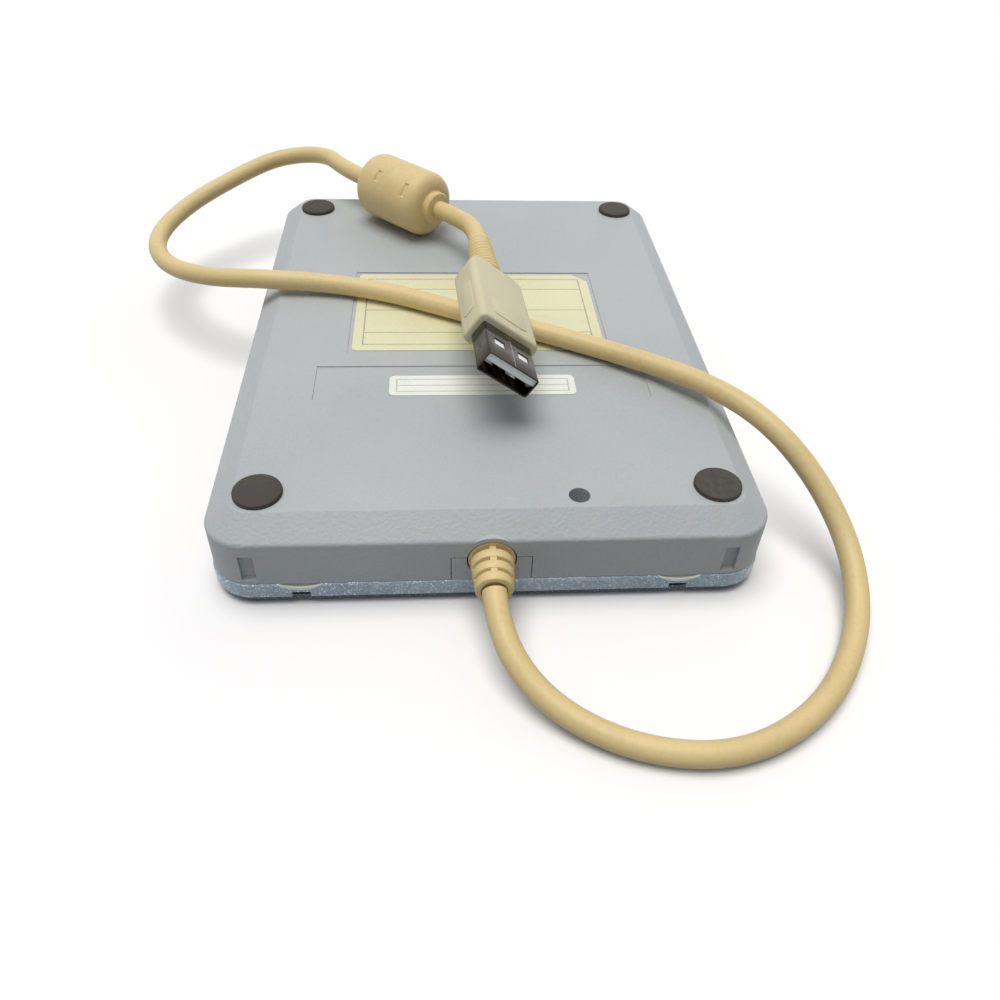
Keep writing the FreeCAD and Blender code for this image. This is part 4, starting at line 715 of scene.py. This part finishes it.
def makePlugBoot(look):
    boot, soft = lathe(look["core"]), look["soft"]
    for number in range(look["ribs"]):
        radius = look["radius"] - number * look["fall"]
        start = look["first"] + number * look["pitch"]
        end = start + look["rib"]
        drawIn(boot, lathe([(0, start), (radius - soft, start), (radius, start + soft),
                            (radius, end - soft), (radius - soft, end), (0, end)]))
    return finishPiece("plugBoot", boot, "cordTan", "plug_boot", plugPose @ turn(-90, "X"))


plugBoot = makePlugBoot(bootLook)

# Feet: soft pads with a rounded rim and a slightly crowned face
footLook = {
    "nodes": ("foot_1", "foot_2", "foot_3", "foot_4"),
    "profile": [(0, 18.75), (4.5, 18.75), (4.5, 19.35), (4.42, 19.6), (4.2, 19.75), (3.9, 19.82),
                (2.4, 19.88), (0, 19.9)],
}
for node in footLook["nodes"]:
    low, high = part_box(node)
    pose = Matrix.Translation(((low[0] + high[0]) / 2, (low[1] + high[1]) / 2, 0))
    finishPiece("pad" + node[-1], lathe(footLook["profile"], 56), "footRubber", node, pose)

print("cord ends and feet ready")


# one where the camera sees a thing directly, by reflection or through something clear
def seenMask(tree):
    rays = wire(tree, "ShaderNodeLightPath").outputs
    direct = calc(tree, "MAXIMUM", rays["Is Camera Ray"], rays["Is Glossy Ray"])
    return calc(tree, "MAXIMUM", direct, rays["Is Transmission Ray"])


# Floor: white where it is seen, and grey in what it throws back at the object
floorLook = {"half": 20, "under": 0.02, "bounce": (0.33, 0.34, 0.35, 1), "cloud": 3.0,
             "paper": ((0.98, 0.95, 0.945, 1), (1.0, 0.97, 0.965, 1))}


def placeFloor(look):
    bm = bmesh.new()
    bmesh.ops.create_grid(bm, x_segments=1, y_segments=1, size=look["half"])
    bmesh.ops.translate(bm, verts=bm.verts, vec=(0, 0, -look["under"] * mm))
    mesh = bpy.data.meshes.new("floor")
    bm.to_mesh(mesh)
    bm.free()
    floor = bpy.data.objects.new("floor", mesh)
    bpy.context.scene.collection.objects.link(floor)
    paper = bpy.data.materials.new("floorPaper")
    paper.use_nodes = True
    tree = paper.node_tree
    shader = tree.nodes["Principled BSDF"]
    where = wire(tree, "ShaderNodeTexCoord").outputs["Object"]
    paperTone = blendTones(tree, noise(tree, where, look["cloud"]), *look["paper"])
    shown = blendTones(tree, seenMask(tree), look["bounce"], paperTone)
    tree.links.new(shown, shader.inputs["Base Color"])
    shader.inputs["Roughness"].default_value = 0.9
    shader.inputs["Specular IOR Level"].default_value = 0.0
    mesh.materials.append(paper)


placeFloor(floorLook)

# Room: white where it is seen, and a faint cool light from all round
roomLook = {"light": 0.30, "tint": (0.80, 0.91, 1.0, 1), "white": (1, 1, 1, 1)}
world = bpy.data.worlds.new("room")
bpy.context.scene.world = world
world.use_nodes = True
background = world.node_tree.nodes["Background"]
seen = seenMask(world.node_tree)
roomTone = blendTones(world.node_tree, seen, roomLook["tint"], roomLook["white"])
world.node_tree.links.new(roomTone, background.inputs["Color"])
roomStrength = spread(world.node_tree, seen, 0.0, 1.0, roomLook["light"], 1.0)
world.node_tree.links.new(roomStrength, background.inputs["Strength"])

# Lamps: one broad soft light from above, a little to the left, and a faint one from the slot end
lampLook = {
    "key": {"from": (-0.12, 0.0, 1.0), "soft": 0.75, "strength": 2.3, "tint": (1.0, 0.985, 0.955)},
    "fill": {"from": (0.45, 0.75, 0.8), "soft": 1.0, "strength": 0.30, "tint": (1.0, 1.0, 1.0)},
}
for name, lamp in lampLook.items():
    lampData = bpy.data.lights.new(name, "SUN")
    lampData.energy = lamp["strength"]
    lampData.angle = lamp["soft"]
    lampData.color = lamp["tint"]
    lampObject = bpy.data.objects.new(name, lampData)
    lampObject.location = lamp["from"]
    lampObject.rotation_euler = (-Vector(lamp["from"])).to_track_quat("-Z", "Y").to_euler()
    bpy.context.scene.collection.objects.link(lampObject)

# Camera: place and lens in metres and millimetres, yaw from Y towards X, pitch upwards, roll about its line
cameraLook = {"at": (-0.009809, -0.178225, 0.123775), "yaw": 5.555, "pitch": -42.435, "roll": 2.806,
              "lens": 30.90, "sensor": 36, "near": 0.005}


def setCamera(look):
    yaw, pitch, roll = (math.radians(look[key]) for key in ("yaw", "pitch", "roll"))
    ahead = Vector((math.sin(yaw) * math.cos(pitch), math.cos(yaw) * math.cos(pitch), math.sin(pitch)))
    level = Vector((math.cos(yaw), -math.sin(yaw), 0))
    over = level.cross(ahead)
    right = level * math.cos(roll) + over * math.sin(roll)
    up = over * math.cos(roll) - level * math.sin(roll)
    cameraData = bpy.data.cameras.new("camera")
    cameraData.lens = look["lens"]
    cameraData.sensor_width = look["sensor"]
    cameraData.clip_start = look["near"]
    camera = bpy.data.objects.new("camera", cameraData)
    turned = Matrix((right, up, -ahead)).transposed().to_4x4()
    camera.matrix_world = Matrix.Translation(look["at"]) @ turned
    bpy.context.scene.collection.objects.link(camera)
    bpy.context.scene.camera = camera


setCamera(cameraLook)
bpy.context.scene.view_settings.view_transform = "Standard"

print("room ready")
